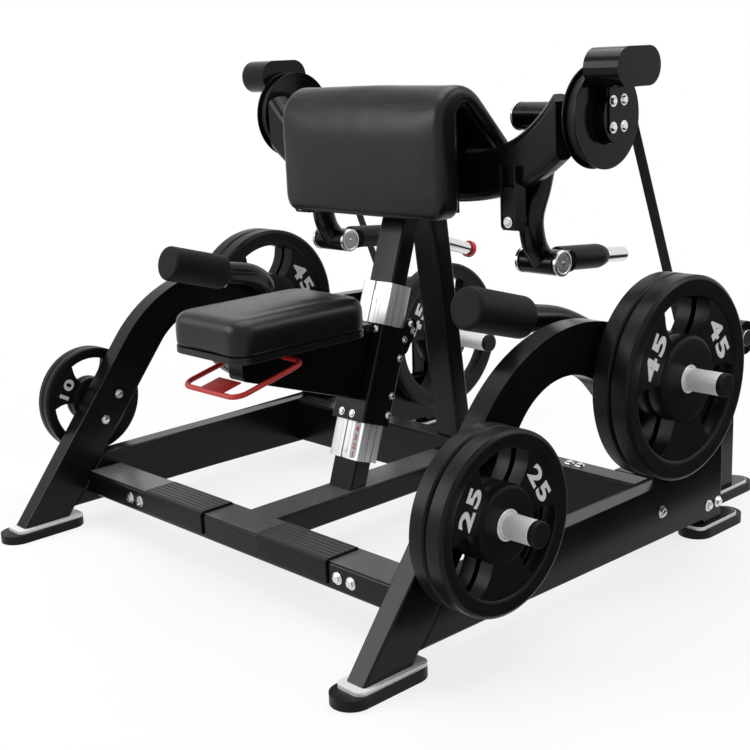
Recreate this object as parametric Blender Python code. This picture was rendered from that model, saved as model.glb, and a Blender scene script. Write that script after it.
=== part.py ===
"""Plate-loaded arm-curl bench: two independent curl arms with drums, belts and plate levers.

Metres, +Z up, and the user sits facing +Y.  The right side is +X and the left mirrors it.
Shapes are drawn in shop coordinates, with Y = 0 at the front edge of the front legs and Z = 0
on the floor.  The empty "machine" then centres the whole bench over the world origin.
"""
import math

import bmesh
import bpy
from mathutils import Matrix, Vector

ROUND_STEPS = 20          # sides of a round piece
TUBE_SIDES = 12           # sides of a bent tube

# Clearances
GAP = 0.0003              # between faces that touch, weld or bolt together
RUNNING = 0.0003          # radial clearance of a turning shaft in its bore
PLATE_SLACK = 0.0008      # radial slack of a weight plate on its horn

# Feet
RUBBER_HEIGHT = 0.0214
SOLE_HEIGHT = 0.008
SOLE_MARGIN = 0.006
FOOT_WIDTH = 0.084
FRONT_FOOT = (-0.050, 0.170)      # from and to, along Y
POST_FOOT = (-0.035, 0.165)       # from and to, behind the front of the post
COLUMN_FOOT = (-0.074, 0.126)     # from and to, about the middle of the column

# Side frames
FRAME_WIDTH = 1.290
TUBE_WIDTH = 0.050
TUBE_DEPTH = 0.100
TUBE_EDGE = 0.006
LEG_ANGLE = math.radians(51.5)
LEG_DATUM = 0.030                 # height at which the leg's front face crosses Y = 0
ARCH_TOP = 0.593
ARCH_RADIUS = 0.370
SHOULDER_ANGLE = math.radians(30)
NOSE_Y = 0.838
NOSE_RADIUS = 0.020
STRUT_ANGLE = math.radians(47.5)
STRUT_START = (0.762, 0.379)      # a point on the strut's lower face, in Y and Z
STRUT_DEPTH = 0.090
CROOK_RADIUS = 0.176

# Base tubes
RAIL_BOTTOM = 0.050
RAIL_HEIGHT = 0.120
CROSS_FRONT_Y = 0.192
CROSS_DEPTH = 0.100
CROSS_BOTTOM = 0.072
CROSS_HEIGHT = 0.060
SPINE_WIDTH = 0.100
REAR_CROSS_Y = 0.890
REAR_CROSS_DEPTH = 0.060
POST_Y = 1.090
POST_TOP = 0.300
REAR_TUBE_DEPTH = 0.075

# Centre frame
POST_LEAN = math.radians(19)
POST_WIDTH = 0.080
SEAT_POST_DEPTH = 0.050
SLIDE_FRONT = (0.606, 0.400)      # a point on the slide's front face, in Y and Z
UPRIGHT_FOOT_Y = 0.8997
UPRIGHT_LEAN = math.radians(6.66)
UPRIGHT_DEPTH = 0.050
UPRIGHT_TOP = 0.850

# Shoulder crossbar, a smile whose height rises with the fourth power of X
CROSSBAR_Y = 0.790
CROSSBAR_Z = 0.850
CROSSBAR_RISE = 0.126
CROSSBAR_INSET = 0.165            # from the frame's outer face to the crossbar's end
CROSSBAR_HEIGHT = 0.110
CROSSBAR_DEPTH = 0.060
CROSSBAR_EDGE = 0.022
BRACKET_X = 0.190
BRACKET_THICKNESS = 0.008

# Drums and their axles
DRUM_Y = 0.872
DRUM_Z = 0.987
BELT_OFFSET = 0.033               # from the crossbar's end to the middle of the belt
DRUM_RADIUS = 0.112
GROOVE_RADIUS = 0.097
DRUM_WIDTH = 0.036
FLANGE_THICKNESS = 0.004
AXLE_RADIUS = 0.0175
END_RING_RADIUS = 0.033
END_RING_THICKNESS = 0.005
HOUSING_RADIUS = 0.042
HOUSING_LENGTH = 0.085
HOUSING_INSET = 0.076             # from the crossbar's end in to the housing's inner end

# Curl arms
ARM_INSET = 0.0475                # from the housing's inner end to the middle of the arm
ARM_RADIUS = 0.0285
HUB_RADIUS = 0.0315
HUB_LENGTH = 0.110
ARM_ROUTE = ((0.872, 0.972), (0.870, 0.900), (0.852, 0.835), (0.824, 0.768), (0.832, 0.708),
             (0.858, 0.668))      # Y and Z of the bent tube, from the hub to the sleeve
SLEEVE_Y = 0.862
SLEEVE_Z = 0.662
SLEEVE_RADIUS = 0.029
SLEEVE_LENGTH = 0.095
PIN_RADIUS = 0.010
LUG_THICKNESS = 0.0045
LUG_HALF_HEIGHT = 0.024
CAP_RADIUS = 0.030
CAP_THICKNESS = 0.008
YOKE_THICKNESS = 0.010
YOKE_REACH = 0.0435               # from the pin's axis to the yoke's rear face
GRIP_RADIUS = 0.029
GRIP_LENGTH = 0.185
GRIP_CORE_RADIUS = 0.0160
GRIP_DROOP = math.radians(5)
TIP_LENGTH = 0.080
TIP_RADIUS = 0.0185

# Counterweights
BOSS_HALF = (0.047, 0.056)        # half sizes of the oval boss in Y and Z
BOSS_THICKNESS = 0.025
WEIGHT_CENTRE = (0.862, 1.090)
WEIGHT_SIZE = (0.150, 0.082)
WEIGHT_THICKNESS = 0.088
WEIGHT_EDGE = 0.008
NECK_HALF = 0.033

# Belts and weight levers
BELT_WIDTH = 0.026
BELT_THICKNESS = 0.003
BELT_WRAP = math.radians(165)     # how far the belt lies on the drum, back from its tangent
BELT_LOOP = math.radians(300)     # and around the anchor pin
BELT_DRUM_STEPS = 12
BELT_LOOP_STEPS = 8
ANCHOR = (1.2476, 0.2747)
ANCHOR_RADIUS = 0.008
PIVOT_Z = 0.425
PIVOT_RADIUS = 0.0125
PIVOT_CAP_RADIUS = 0.020
PIVOT_CAP_THICKNESS = 0.004
LEVER_REACH = (0.0258, 0.0750)    # from and to, outwards from the belt
LEVER_TUBE_REACH = 0.0350
LEVER_HALF_DEPTH = 0.025
LEVER_HUB_RADIUS = 0.042
CRANK_THICKNESS = 0.010
CRANK_END_RADIUS = 0.022
LOAD_Y = 0.872
LOAD_Z = 0.443

# Horns and weight plates
HORN_RADIUS = 0.0245
LOAD_HORN_REACH = 0.190           # outwards from the frame's outer face
STORAGE_HORN_REACH = 0.190
REAR_HORN_LENGTH = 0.238
COLLAR_RADIUS = 0.042
COLLAR_THICKNESS = 0.005
LOAD_COLLAR_GAP = 0.0015          # from the frame's outer face to the loading horn's collar
STORAGE_COLLAR = 0.027
REAR_COLLAR = 0.017
STORAGE_HEIGHT = 0.292
REAR_STORAGE_Z = 0.300
PLATE_45 = (0.2236, 0.0458)       # radius and thickness
PLATE_25 = (0.181, 0.042)
PLATE_10 = (0.140, 0.022)
PLATE_STEPS = 18
PLATE_WEB_DROP = 0.22             # how deep the web lies under the rim, as a share of thickness
WINDOW_STEPS = 3                  # width of a plate's window, in steps of the circle
WINDOW_STARTS = (5, 11, 17)       # windows at 4, 8 and 12 o'clock, as steps from the first point

# Seat slide, carriage and seat arm
SLIDE_WIDTH = 0.100
SLIDE_WALL = 0.008
SLIDE_REACH = (-0.208, 0.222)     # along the post, from the point SLIDE_FRONT
SLOT_WIDTH = 0.012
SLOT_DEPTH = 0.004
CARRIAGE_WALL = 0.0115
CARRIAGE_SIDE = 0.0060
CARRIAGE_REACH = (-0.116, 0.122)
SEAT_ARM_WIDTH = 0.050
SEAT_ARM_FRONT = (0.240, 0.455)   # lower front corner, in Y and Z
SEAT_ARM_TOP = 0.5177
SEAT_ARM_BACK_Z = 0.343

# Seat
SEAT_BOARD_THICKNESS = 0.012
SEAT_BOARD_MARGIN = 0.006
SEAT_WIDTH = 0.260
SEAT_FRONT = 0.155
SEAT_LENGTH = 0.380
SEAT_THICKNESS = 0.083
SEAT_CORNER = 0.042
SEAT_CROWN = 0.007
SEAT_DRAW = 0.004                 # how far each side pulls in between the corners
LOOP_ROD = 0.006
LOOP_HALF = 0.100
LOOP_BEND = 0.018
LOOP_AXLE = (0.355, 0.489)
LOOP_FRONT = (0.165, 0.445)
PADDLE_HALF = 0.040
PADDLE_LENGTH = 0.060
PADDLE_THICKNESS = 0.003

# Arm pad, a board and a cushion that bend over a crest
PAD_HALF = 0.268
PAD_FRONT = 0.622
PAD_BOTTOM = 0.772
PAD_THICKNESS = 0.064
PAD_SLOPE = math.radians(46.4)
PAD_SLOPE_POINT = (0.770, 1.032)  # a point on the slope's outer face, in Y and Z
PAD_SLOPE_THICKNESS = 0.033
PAD_TAIL_Y = 0.925
PAD_CREST_RADIUS = 0.080
PAD_EDGE = 0.010                  # how far the cushion's ends round over
PAD_CORNER = 0.021
PAD_CROWN = 0.004
PAD_DRAW = 0.003
PAD_BOARD_THICKNESS = 0.012
PAD_BOARD_RADIUS = 0.030
PAD_BOARD_MARGIN = 0.008

# Handles, treads, stops and pegs
FOAM_RADIUS = 0.045
FOAM_LENGTH = 0.175
FOAM_END = 0.012                  # foam in front of the tube's end
HANDLE_RADIUS = 0.030
HANDLE_TILT = math.radians(16)    # how far the straight grip end slopes down towards the arch
HANDLE_ROUTE = ((0.090, 0.700, 0.573), (0.062, 0.765, 0.535), (0.015, 0.800, 0.487))
HANDLE_FRONT = (0.1025, 0.429, 0.644)     # X is inwards from the middle of the side tube
TREAD_X = (0.102, 0.333)
TREAD_THICKNESS = 0.005
TREAD_RIBS = 7
TREAD_RIB_HEIGHT = 0.0015
STOP_WIDTH = 0.044
STOP_Y = (0.745, 0.779)
STOP_BOTTOM = 0.745
STOP_RADIUS = 0.014
REST_LENGTH = 0.060
REST_WIDTH = 0.040
REST_SINK = 0.003
PEG_RADIUS = 0.016
PEG_LENGTH = 0.120
PEG_Z = 0.680
PEG_DROOP = math.radians(18)
PEG_CAP_RADIUS = 0.021
PEG_CAP_LENGTH = 0.012

# Derived levels and planes
TUBE_FOOT = RUBBER_HEIGHT + SOLE_HEIGHT / 2
OUTER_X = FRAME_WIDTH / 2
INNER_X = OUTER_X - TUBE_WIDTH
SIDE_X = OUTER_X - TUBE_WIDTH / 2
CROSSBAR_HALF = OUTER_X - CROSSBAR_INSET
BELT_X = CROSSBAR_HALF + BELT_OFFSET
HOUSING_START = CROSSBAR_HALF - HOUSING_INSET
ARM_X = HOUSING_START - ARM_INSET
LEVER_X = (BELT_X + LEVER_REACH[0], BELT_X + LEVER_REACH[1])
LEVER_TUBE_X = BELT_X + LEVER_TUBE_REACH
LOAD_COLLAR_X = OUTER_X + LOAD_COLLAR_GAP
RAIL_TOP = RAIL_BOTTOM + RAIL_HEIGHT
CROSS_TOP = CROSS_BOTTOM + CROSS_HEIGHT
CROSS_BACK_Y = CROSS_FRONT_Y + CROSS_DEPTH
REAR_CROSS_BACK_Y = REAR_CROSS_Y + REAR_CROSS_DEPTH
POST_BACK_Y = POST_Y + REAR_TUBE_DEPTH
COLUMN_X = (BELT_X - TUBE_WIDTH / 2, BELT_X + TUBE_WIDTH / 2)
COLUMN_Y = 1.350
PIVOT = (COLUMN_Y, PIVOT_Z)
AXLE = (DRUM_Y, DRUM_Z)
SLEEVE = (SLEEVE_Y, SLEEVE_Z)
LOAD = (LOAD_Y, LOAD_Z)
DRUM_START = BELT_X - DRUM_WIDTH / 2
HUB_START = ARM_X - HUB_LENGTH * 0.6
BOSS_X = DRUM_START + DRUM_WIDTH + GAP
SLIDE_DEPTH = SEAT_POST_DEPTH + 2 * (SLIDE_WALL + GAP)
SEAT_BOARD_Z = SEAT_ARM_TOP + GAP
CUSHION_Z = SEAT_BOARD_Z + SEAT_BOARD_THICKNESS + GAP
PLATE_BORE = HORN_RADIUS + PLATE_SLACK
LEG_SPREAD = TUBE_DEPTH / math.sin(LEG_ANGLE)
STORAGE_Y = (STORAGE_HEIGHT - LEG_DATUM) / math.tan(LEG_ANGLE) + LEG_SPREAD / 2
PLATE_REACH = PLATE_45[0] * math.cos(math.pi / PLATE_STEPS)
Y_MIDDLE = (FRONT_FOOT[0] + COLUMN_Y + PLATE_REACH) / 2

# Finishes: colour, roughness, metallic
COATED = ((0.017, 0.017, 0.018), 0.34, 0.0)
RUBBER = ((0.020, 0.020, 0.021), 0.72, 0.0)
PLATE_RUBBER = ((0.032, 0.032, 0.034), 0.52, 0.0)
FOAM = ((0.013, 0.013, 0.014), 0.85, 0.0)
VINYL = ((0.021, 0.021, 0.022), 0.48, 0.0)
BOARD = ((0.030, 0.029, 0.028), 0.80, 0.0)
STEEL = ((0.56, 0.55, 0.53), 0.30, 1.0)
CHROME = ((0.72, 0.72, 0.73), 0.12, 1.0)
ALUMINIUM = ((0.78, 0.79, 0.80), 0.28, 1.0)
RED = ((0.62, 0.035, 0.030), 0.42, 0.0)
WEBBING = ((0.012, 0.012, 0.012), 0.70, 0.0)

AXIS_X = Vector((1, 0, 0))
AXIS_Y = Vector((0, 1, 0))
AXIS_Z = Vector((0, 0, 1))
bodies = {}


def clear_scene():
    for old in list(bpy.data.objects):
        bpy.data.objects.remove(old, do_unlink=True)


def add_body(name, y, z, parent="machine"):
    """An empty on a body's joint axis, placed in shop coordinates."""
    empty = bpy.data.objects.new(name, None)
    bpy.context.scene.collection.objects.link(empty)
    place = Vector((0, y, z))
    above = bodies.get(parent)
    if above:
        empty.parent = above[0]
        empty.location = place - above[1]
    else:
        empty.location = place - AXIS_Y * Y_MIDDLE
    bodies[name] = (empty, place)


def add_object(name, shape, finish, body="machine"):
    """Turn a bmesh drawn in shop coordinates into a named object on its body."""
    shape.normal_update()
    bmesh.ops.recalc_face_normals(shape, faces=shape.faces)
    mesh = bpy.data.meshes.new(name)
    shape.to_mesh(mesh)
    shape.free()
    empty, place = bodies[body]
    mesh.transform(Matrix.Translation(-place))
    mesh.shade_smooth()
    mesh.set_sharp_from_angle(angle=math.radians(32))
    colour, roughness, metallic = finish
    surface = bpy.data.materials.new(name + "_finish")
    surface.use_nodes = True
    shader = surface.node_tree.nodes["Principled BSDF"]
    shader.inputs["Base Color"].default_value = (*colour, 1)
    shader.inputs["Roughness"].default_value = roughness
    shader.inputs["Metallic"].default_value = metallic
    mesh.materials.append(surface)
    made = bpy.data.objects.new(name, mesh)
    made.parent = empty
    bpy.context.scene.collection.objects.link(made)
    return made


def boolean(target, operation, shape, name, body="machine"):
    """Join a hidden shape to an object, or cut it away."""
    tool = add_object(target.name + "_" + name, shape, COATED, body)
    tool.hide_render = True
    tool.display_type = "WIRE"
    step = target.modifiers.new(name, "BOOLEAN")
    step.object = tool
    step.operation = operation
    step.solver = "EXACT"
    return tool


def rounded(corners):
    """An outline from (u, v, radius, steps) corners, each turned into an arc."""
    outline = []
    for index, (u, v, radius, steps) in enumerate(corners):
        if radius <= 0:
            outline.append((u, v))
            continue
        here = Vector((u, v))
        before = (Vector(corners[index - 1][:2]) - here).normalized()
        after = (Vector(corners[(index + 1) % len(corners)][:2]) - here).normalized()
        half = before.angle(after) / 2
        centre = here + (before + after).normalized() * (radius / math.sin(half))
        start = here + before * (radius / math.tan(half)) - centre
        finish = here + after * (radius / math.tan(half)) - centre
        turn = -start.angle_signed(finish)
        for step in range(steps + 1):
            angle = turn * step / steps
            outline.append((centre.x + start.x * math.cos(angle) - start.y * math.sin(angle),
                            centre.y + start.x * math.sin(angle) + start.y * math.cos(angle)))
    return outline


def rectangle(low, high, radius=0.0, steps=3):
    corners = ((low[0], low[1]), (high[0], low[1]), (high[0], high[1]), (low[0], high[1]))
    return rounded([(u, v, radius, steps) for u, v in corners])


def stadium(centre, size, steps=5):
    """A slot-shaped outline about its centre."""
    low = (centre[0] - size[0] / 2, centre[1] - size[1] / 2)
    high = (centre[0] + size[0] / 2, centre[1] + size[1] / 2)
    return rectangle(low, high, min(size) / 2 - GAP, steps)


def oval(centre, half, steps=ROUND_STEPS):
    angles = [2 * math.pi * k / steps for k in range(steps)]
    return [(centre[0] + half[0] * math.cos(a), centre[1] + half[1] * math.sin(a)) for a in angles]


def tapered_bar(first, first_radius, second, second_radius, steps=6):
    """The outline around two circles and the straight sides that join them."""
    start, finish = Vector(first), Vector(second)
    along = math.atan2(finish.y - start.y, finish.x - start.x)
    lean = math.acos((first_radius - second_radius) / (finish - start).length)
    outline = []
    for centre, radius, begin, end in ((start, first_radius, lean, 2 * math.pi - lean),
                                       (finish, second_radius, -lean, lean)):
        for k in range(steps + 1):
            angle = along + begin + (end - begin) * k / steps
            outline.append((centre.x + radius * math.cos(angle),
                            centre.y + radius * math.sin(angle)))
    return outline


def slab(outline, plane, low, high, edge=0.0, into=None):
    """Extrude a closed outline from low to high, with its two rims rounded by edge."""
    shape = into or bmesh.new()
    order = {"yz": lambda u, v, w: (w, u, v), "xz": lambda u, v, w: (u, w, v),
             "xy": lambda u, v, w: (u, v, w)}[plane]
    near = [shape.verts.new(order(u, v, low)) for u, v in outline]
    far = [shape.verts.new(order(u, v, high)) for u, v in outline]
    caps = [shape.faces.new(near), shape.faces.new(list(reversed(far)))]
    for index, start in enumerate(near):
        after = (index + 1) % len(near)
        shape.faces.new((start, far[index], far[after], near[after]))
    if edge:
        rims = {rim for cap in caps for rim in cap.edges}
        bmesh.ops.bevel(shape, geom=list(rims), offset=edge, segments=1, affect="EDGES", clamp_overlap=True)
    return shape


def beam(low, high, along, edge=TUBE_EDGE, into=None):
    """A tube between two corners, with rounded long edges along X, Y or Z."""
    third = "xyz".index(along)
    first, second = [k for k in range(3) if k != third]
    outline = rectangle((low[first], low[second]), (high[first], high[second]), edge)
    plane = {"x": "yz", "y": "xz", "z": "xy"}[along]
    return slab(outline, plane, low[third], high[third], into=into)


def turned(profile, start, direction, steps=ROUND_STEPS, into=None):
    """Turn (distance, radius) points about an axis; a profile with no zero radius is bored."""
    shape = into or bmesh.new()
    direction = Vector(direction).normalized()
    guide = AXIS_Y if abs(direction.y) < 0.9 else AXIS_X
    across = (guide - direction * guide.dot(direction)).normalized()
    other = direction.cross(across)
    rings = []
    for distance, radius in profile:
        centre = Vector(start) + direction * distance
        if radius == 0:
            rings.append([shape.verts.new(centre)])
            continue
        angles = [2 * math.pi * k / steps for k in range(steps)]
        rings.append([shape.verts.new(centre + across * radius * math.cos(a)
                                      + other * radius * math.sin(a)) for a in angles])
    bored = all(radius > 0 for _, radius in profile)
    pairs = list(zip(rings, rings[1:])) + ([(rings[-1], rings[0])] if bored else [])
    for first, second in pairs:
        for k in range(steps):
            after = (k + 1) % steps
            corners = dict.fromkeys([first[k % len(first)], first[after % len(first)],
                                     second[after % len(second)], second[k % len(second)]])
            if len(corners) > 2:
                shape.faces.new(list(corners))
    return shape


def rod(start, direction, length, radius, edge=0.0, steps=ROUND_STEPS, into=None):
    """A round bar whose two ends are chamfered by edge."""
    profile = [(0, 0), (0, radius), (length, radius), (length, 0)]
    if edge:
        profile = [(0, 0), (0, radius - edge), (edge, radius), (length - edge, radius),
                   (length, radius - edge), (length, 0)]
    return turned(profile, start, direction, steps, into)


def swept(route, section, across, into=None):
    """Carry a closed section along a route; its points are (along across, the other way)."""
    shape = into or bmesh.new()
    loops = []
    last = len(route) - 1
    for index, here in enumerate(route):
        tangent = (route[min(index + 1, last)] - route[max(index - 1, 0)]).normalized()
        side = (across - tangent * across.dot(tangent)).normalized()
        other = tangent.cross(side)
        loops.append([shape.verts.new(here + side * u + other * v) for u, v in section])
    shape.faces.new(loops[0])
    shape.faces.new(list(reversed(loops[-1])))
    for first, second in zip(loops, loops[1:]):
        for k in range(len(section)):
            after = (k + 1) % len(section)
            shape.faces.new((first[k], second[k], second[after], first[after]))
    return shape


def smooth_route(points, pieces):
    """A Catmull-Rom curve through the points, with some pieces in each span."""
    ends = [points[0] * 2 - points[1]] + list(points) + [points[-1] * 2 - points[-2]]
    route = []
    for before, start, stop, after in zip(ends, ends[1:], ends[2:], ends[3:]):
        for k in range(pieces):
            t = k / pieces
            route.append(0.5 * ((2 * start) + (stop - before) * t
                                + (2 * before - 5 * start + 4 * stop - after) * t * t
                                + (3 * start - before - 3 * stop + after) * t ** 3))
    return route + [points[-1].copy()]


def both_sides(shape):
    """Add the left-hand copy of a right-hand shape to it."""
    parts = list(shape.verts) + list(shape.edges) + list(shape.faces)
    for item in bmesh.ops.duplicate(shape, geom=parts)["geom"]:
        if isinstance(item, bmesh.types.BMVert):
            item.co.x = -item.co.x
    return shape


def to_side(shape, side):
    """Flip a right-hand shape when the side is the left one."""
    for vert in shape.verts:
        vert.co.x *= side
    return shape


def line_meet(start, angle, other, other_angle):
    """Where two lines cross in a plane, each given by a point and its slope angle."""
    along = Vector((math.cos(angle), math.sin(angle)))
    across = Vector((math.cos(other_angle), math.sin(other_angle)))
    between = Vector(other) - Vector(start)
    reach = (between.x * across.y - between.y * across.x) / (along.x * across.y - along.y * across.x)
    return Vector(start) + along * reach


def leg_back_y(z):
    """Y of the front leg's rear face at a height."""
    return LEG_SPREAD + (z - LEG_DATUM) / math.tan(LEG_ANGLE)


def strut_top(z):
    """The point on the rear strut's upper face at a height."""
    rise = STRUT_START[1] + STRUT_DEPTH * math.cos(STRUT_ANGLE) - z
    run = STRUT_START[0] + STRUT_DEPTH * math.sin(STRUT_ANGLE)
    return Vector((run + rise / math.tan(STRUT_ANGLE), z))


def crossbar_z(x):
    return CROSSBAR_Z + CROSSBAR_RISE * (abs(x) / CROSSBAR_HALF) ** 4


def post_point(up, back, x=0.0):
    """A point in the leaning post's own frame: up along it and back through it."""
    return Vector((x,
                   SLIDE_FRONT[0] + up * math.sin(POST_LEAN) + back * math.cos(POST_LEAN),
                   SLIDE_FRONT[1] + up * math.cos(POST_LEAN) - back * math.sin(POST_LEAN)))


def post_y(back, z):
    """Y at a height on the plane that lies a distance back through the leaning post."""
    on_plane = post_point(0, back)
    return on_plane.y + (z - on_plane.z) * math.tan(POST_LEAN)


def post_block(reach, back, half):
    """A block square to the leaning post: reach along it, back through it, half its width."""
    block = bmesh.new()
    corners = [post_point(up, depth) for up, depth in
               ((reach[0], back[0]), (reach[1], back[0]), (reach[1], back[1]), (reach[0], back[1]))]
    return slab([(corner.y, corner.z) for corner in corners], "yz", -half, half, into=block)


def upright_y(z, depth=0.0):
    """Y of the rear upright at a height, some depth behind its front face."""
    return (UPRIGHT_FOOT_Y - (z - RAIL_TOP) * math.tan(UPRIGHT_LEAN)
            + depth / math.cos(UPRIGHT_LEAN))


# Side frames and base
def foot_span(reach, y):
    return y + reach[0], y + reach[1]


def foot_sole(x, span):
    """The steel plate that is welded under a tube and let into its rubber foot."""
    centre = (x, (span[0] + span[1]) / 2)
    size = (FOOT_WIDTH - 2 * SOLE_MARGIN, span[1] - span[0] - 2 * SOLE_MARGIN)
    return slab(stadium(centre, size), "xy", RUBBER_HEIGHT + GAP,
                RUBBER_HEIGHT + GAP + SOLE_HEIGHT)


def make_foot(name, side, x, span):
    centre = (x, (span[0] + span[1]) / 2)
    foot = slab(stadium(centre, (FOOT_WIDTH, span[1] - span[0])), "xy", 0, RUBBER_HEIGHT)
    add_object(name, to_side(foot, side), RUBBER)


def make_arch(name, side):
    """Front leg, rounded top and rear strut, with the handle tube and the lever's rest."""
    centre_z = ARCH_TOP - ARCH_RADIUS
    centre_y = ((ARCH_RADIUS + (centre_z - LEG_DATUM) * math.cos(LEG_ANGLE))
                / math.sin(LEG_ANGLE))
    shoulder = (centre_y + ARCH_RADIUS * math.sin(SHOULDER_ANGLE),
                centre_z + ARCH_RADIUS * math.cos(SHOULDER_ANGLE))
    seat_z = RAIL_TOP + GAP
    nose_line = ((NOSE_Y, 0), math.pi / 2)
    apex = line_meet((0, LEG_DATUM), LEG_ANGLE, shoulder, -SHOULDER_ANGLE)
    nose = line_meet(shoulder, -SHOULDER_ANGLE, *nose_line)
    under_nose = line_meet(strut_top(0), -STRUT_ANGLE, *nose_line)
    crook = line_meet((LEG_SPREAD, LEG_DATUM), LEG_ANGLE, STRUT_START, -STRUT_ANGLE)
    strut_low = line_meet(STRUT_START, -STRUT_ANGLE, (0, seat_z), 0)
    leg_foot = leg_back_y(TUBE_FOOT)
    corners = [(leg_foot - LEG_SPREAD, TUBE_FOOT, 0, 0), (*apex, ARCH_RADIUS, 12),
               (*nose, NOSE_RADIUS, 3),
               (*under_nose, 0, 0), (*strut_top(seat_z), 0, 0), (*strut_low, 0, 0),
               (*crook, CROOK_RADIUS, 9), (leg_foot, TUBE_FOOT, 0, 0)]
    shape = slab(rounded(corners), "yz", INNER_X, OUTER_X, TUBE_EDGE)
    arch = add_object(name + "_arch", to_side(shape, side), COATED)
    boolean(arch, "UNION", to_side(foot_sole(SIDE_X, FRONT_FOOT), side), "sole")
    boolean(arch, "UNION", to_side(handle_tube(), side), "handle_tube")
    boolean(arch, "UNION", to_side(lever_rest(), side), "lever_rest")


def lever_rest():
    """The pad on the strut that the loading horn comes down on."""
    along = Vector((math.cos(STRUT_ANGLE), -math.sin(STRUT_ANGLE))) * REST_LENGTH / 2
    away = Vector((math.sin(STRUT_ANGLE), math.cos(STRUT_ANGLE)))
    foot = Vector(LOAD) - away * away.dot(Vector(LOAD) - strut_top(0))
    low, high = foot - away * REST_SINK, Vector(LOAD) - away * (HORN_RADIUS + GAP)
    outline = [low - along, low + along, high + along, high - along]
    return slab([tuple(point) for point in outline], "yz", SIDE_X - REST_WIDTH / 2,
                SIDE_X + REST_WIDTH / 2)


def make_side_base(name, side):
    """Side rail and rear post, tied to the inner rail and pivot column behind them."""
    slip = GAP / math.sin(LEG_ANGLE)
    outline = [(leg_back_y(RAIL_BOTTOM) + slip, RAIL_BOTTOM), (POST_Y, RAIL_BOTTOM),
               (POST_Y, TUBE_FOOT), (POST_BACK_Y, TUBE_FOOT), (POST_BACK_Y, POST_TOP),
               (POST_Y, POST_TOP), (POST_Y, RAIL_TOP), (leg_back_y(RAIL_TOP) + slip, RAIL_TOP)]
    rail = slab(outline, "yz", INNER_X, OUTER_X, TUBE_EDGE)
    base = add_object(name + "_side_base", to_side(rail, side), COATED)
    half = REAR_TUBE_DEPTH / 2
    front, back, top = COLUMN_Y - half, COLUMN_Y + half, PIVOT_Z + half
    outline = rounded([(REAR_CROSS_BACK_Y + GAP, RAIL_BOTTOM, 0, 0), (front, RAIL_BOTTOM, 0, 0),
                       (front, TUBE_FOOT, 0, 0), (back, TUBE_FOOT, 0, 0),
                       (back, top, half - GAP, 6), (front, top, half - GAP, 6),
                       (front, RAIL_TOP, 0, 0), (REAR_CROSS_BACK_Y + GAP, RAIL_TOP, 0, 0)])
    column = slab(outline, "yz", *COLUMN_X, TUBE_EDGE)
    link = beam((BELT_X, POST_Y + TUBE_EDGE, RAIL_BOTTOM + TUBE_EDGE),
                (SIDE_X, POST_BACK_Y - TUBE_EDGE, RAIL_TOP - TUBE_EDGE), "x")
    end = LEVER_X[1] + GAP
    pin = turned([(0, 0), (0, PIVOT_RADIUS), (end - BELT_X, PIVOT_RADIUS),
                  (end - BELT_X, PIVOT_CAP_RADIUS),
                  (end - BELT_X + PIVOT_CAP_THICKNESS, PIVOT_CAP_RADIUS),
                  (end - BELT_X + PIVOT_CAP_THICKNESS, 0)], (BELT_X, *PIVOT), AXIS_X)
    joined = (("link", link), ("column", column), ("pivot_pin", pin),
              ("post_sole", foot_sole(SIDE_X, foot_span(POST_FOOT, POST_Y))),
              ("column_sole", foot_sole(BELT_X, foot_span(COLUMN_FOOT, COLUMN_Y))))
    for part, shape in joined:
        boolean(base, "UNION", to_side(shape, side), part)


def make_crossmembers():
    """Front crossmember with its centre spine, and the rear crossmember behind them."""
    reach = INNER_X - GAP
    front = beam((-reach, CROSS_FRONT_Y, CROSS_BOTTOM), (reach, CROSS_BACK_Y, CROSS_TOP), "x")
    front = add_object("front_crossmember", front, COATED)
    half = SPINE_WIDTH / 2
    sunk = TUBE_EDGE / 4
    spine = beam((-half, CROSS_BACK_Y - TUBE_WIDTH, CROSS_BOTTOM + sunk),
                 (half, REAR_CROSS_Y - GAP, CROSS_TOP - sunk), "y")
    boolean(front, "UNION", spine, "spine")
    rear = beam((-reach, REAR_CROSS_Y, RAIL_BOTTOM), (reach, REAR_CROSS_BACK_Y, RAIL_TOP), "x")
    add_object("rear_crossmember", rear, COATED)


def make_tread(name, side):
    """Ribbed rubber over the top and front face of the front crossmember."""
    top = CROSS_TOP + GAP
    front = CROSS_FRONT_Y - GAP
    rise = top + TREAD_THICKNESS
    back = CROSS_BACK_Y - 2 * TUBE_EDGE
    low = CROSS_BOTTOM + 2 * TUBE_EDGE
    outline = [(front, low), (front, top), (back, top), (back, rise)]
    pitch = (back - front) / TREAD_RIBS
    for k in range(TREAD_RIBS):
        outline += [(back - (k + 0.2) * pitch, rise + TREAD_RIB_HEIGHT),
                    (back - (k + 0.6) * pitch, rise + TREAD_RIB_HEIGHT),
                    (back - (k + 0.8) * pitch, rise)]
    outline += [(front - TREAD_THICKNESS, rise - TREAD_THICKNESS), (front - TREAD_THICKNESS, low)]
    add_object(name + "_foot_tread", to_side(slab(outline, "yz", *TREAD_X), side), RUBBER)


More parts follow.
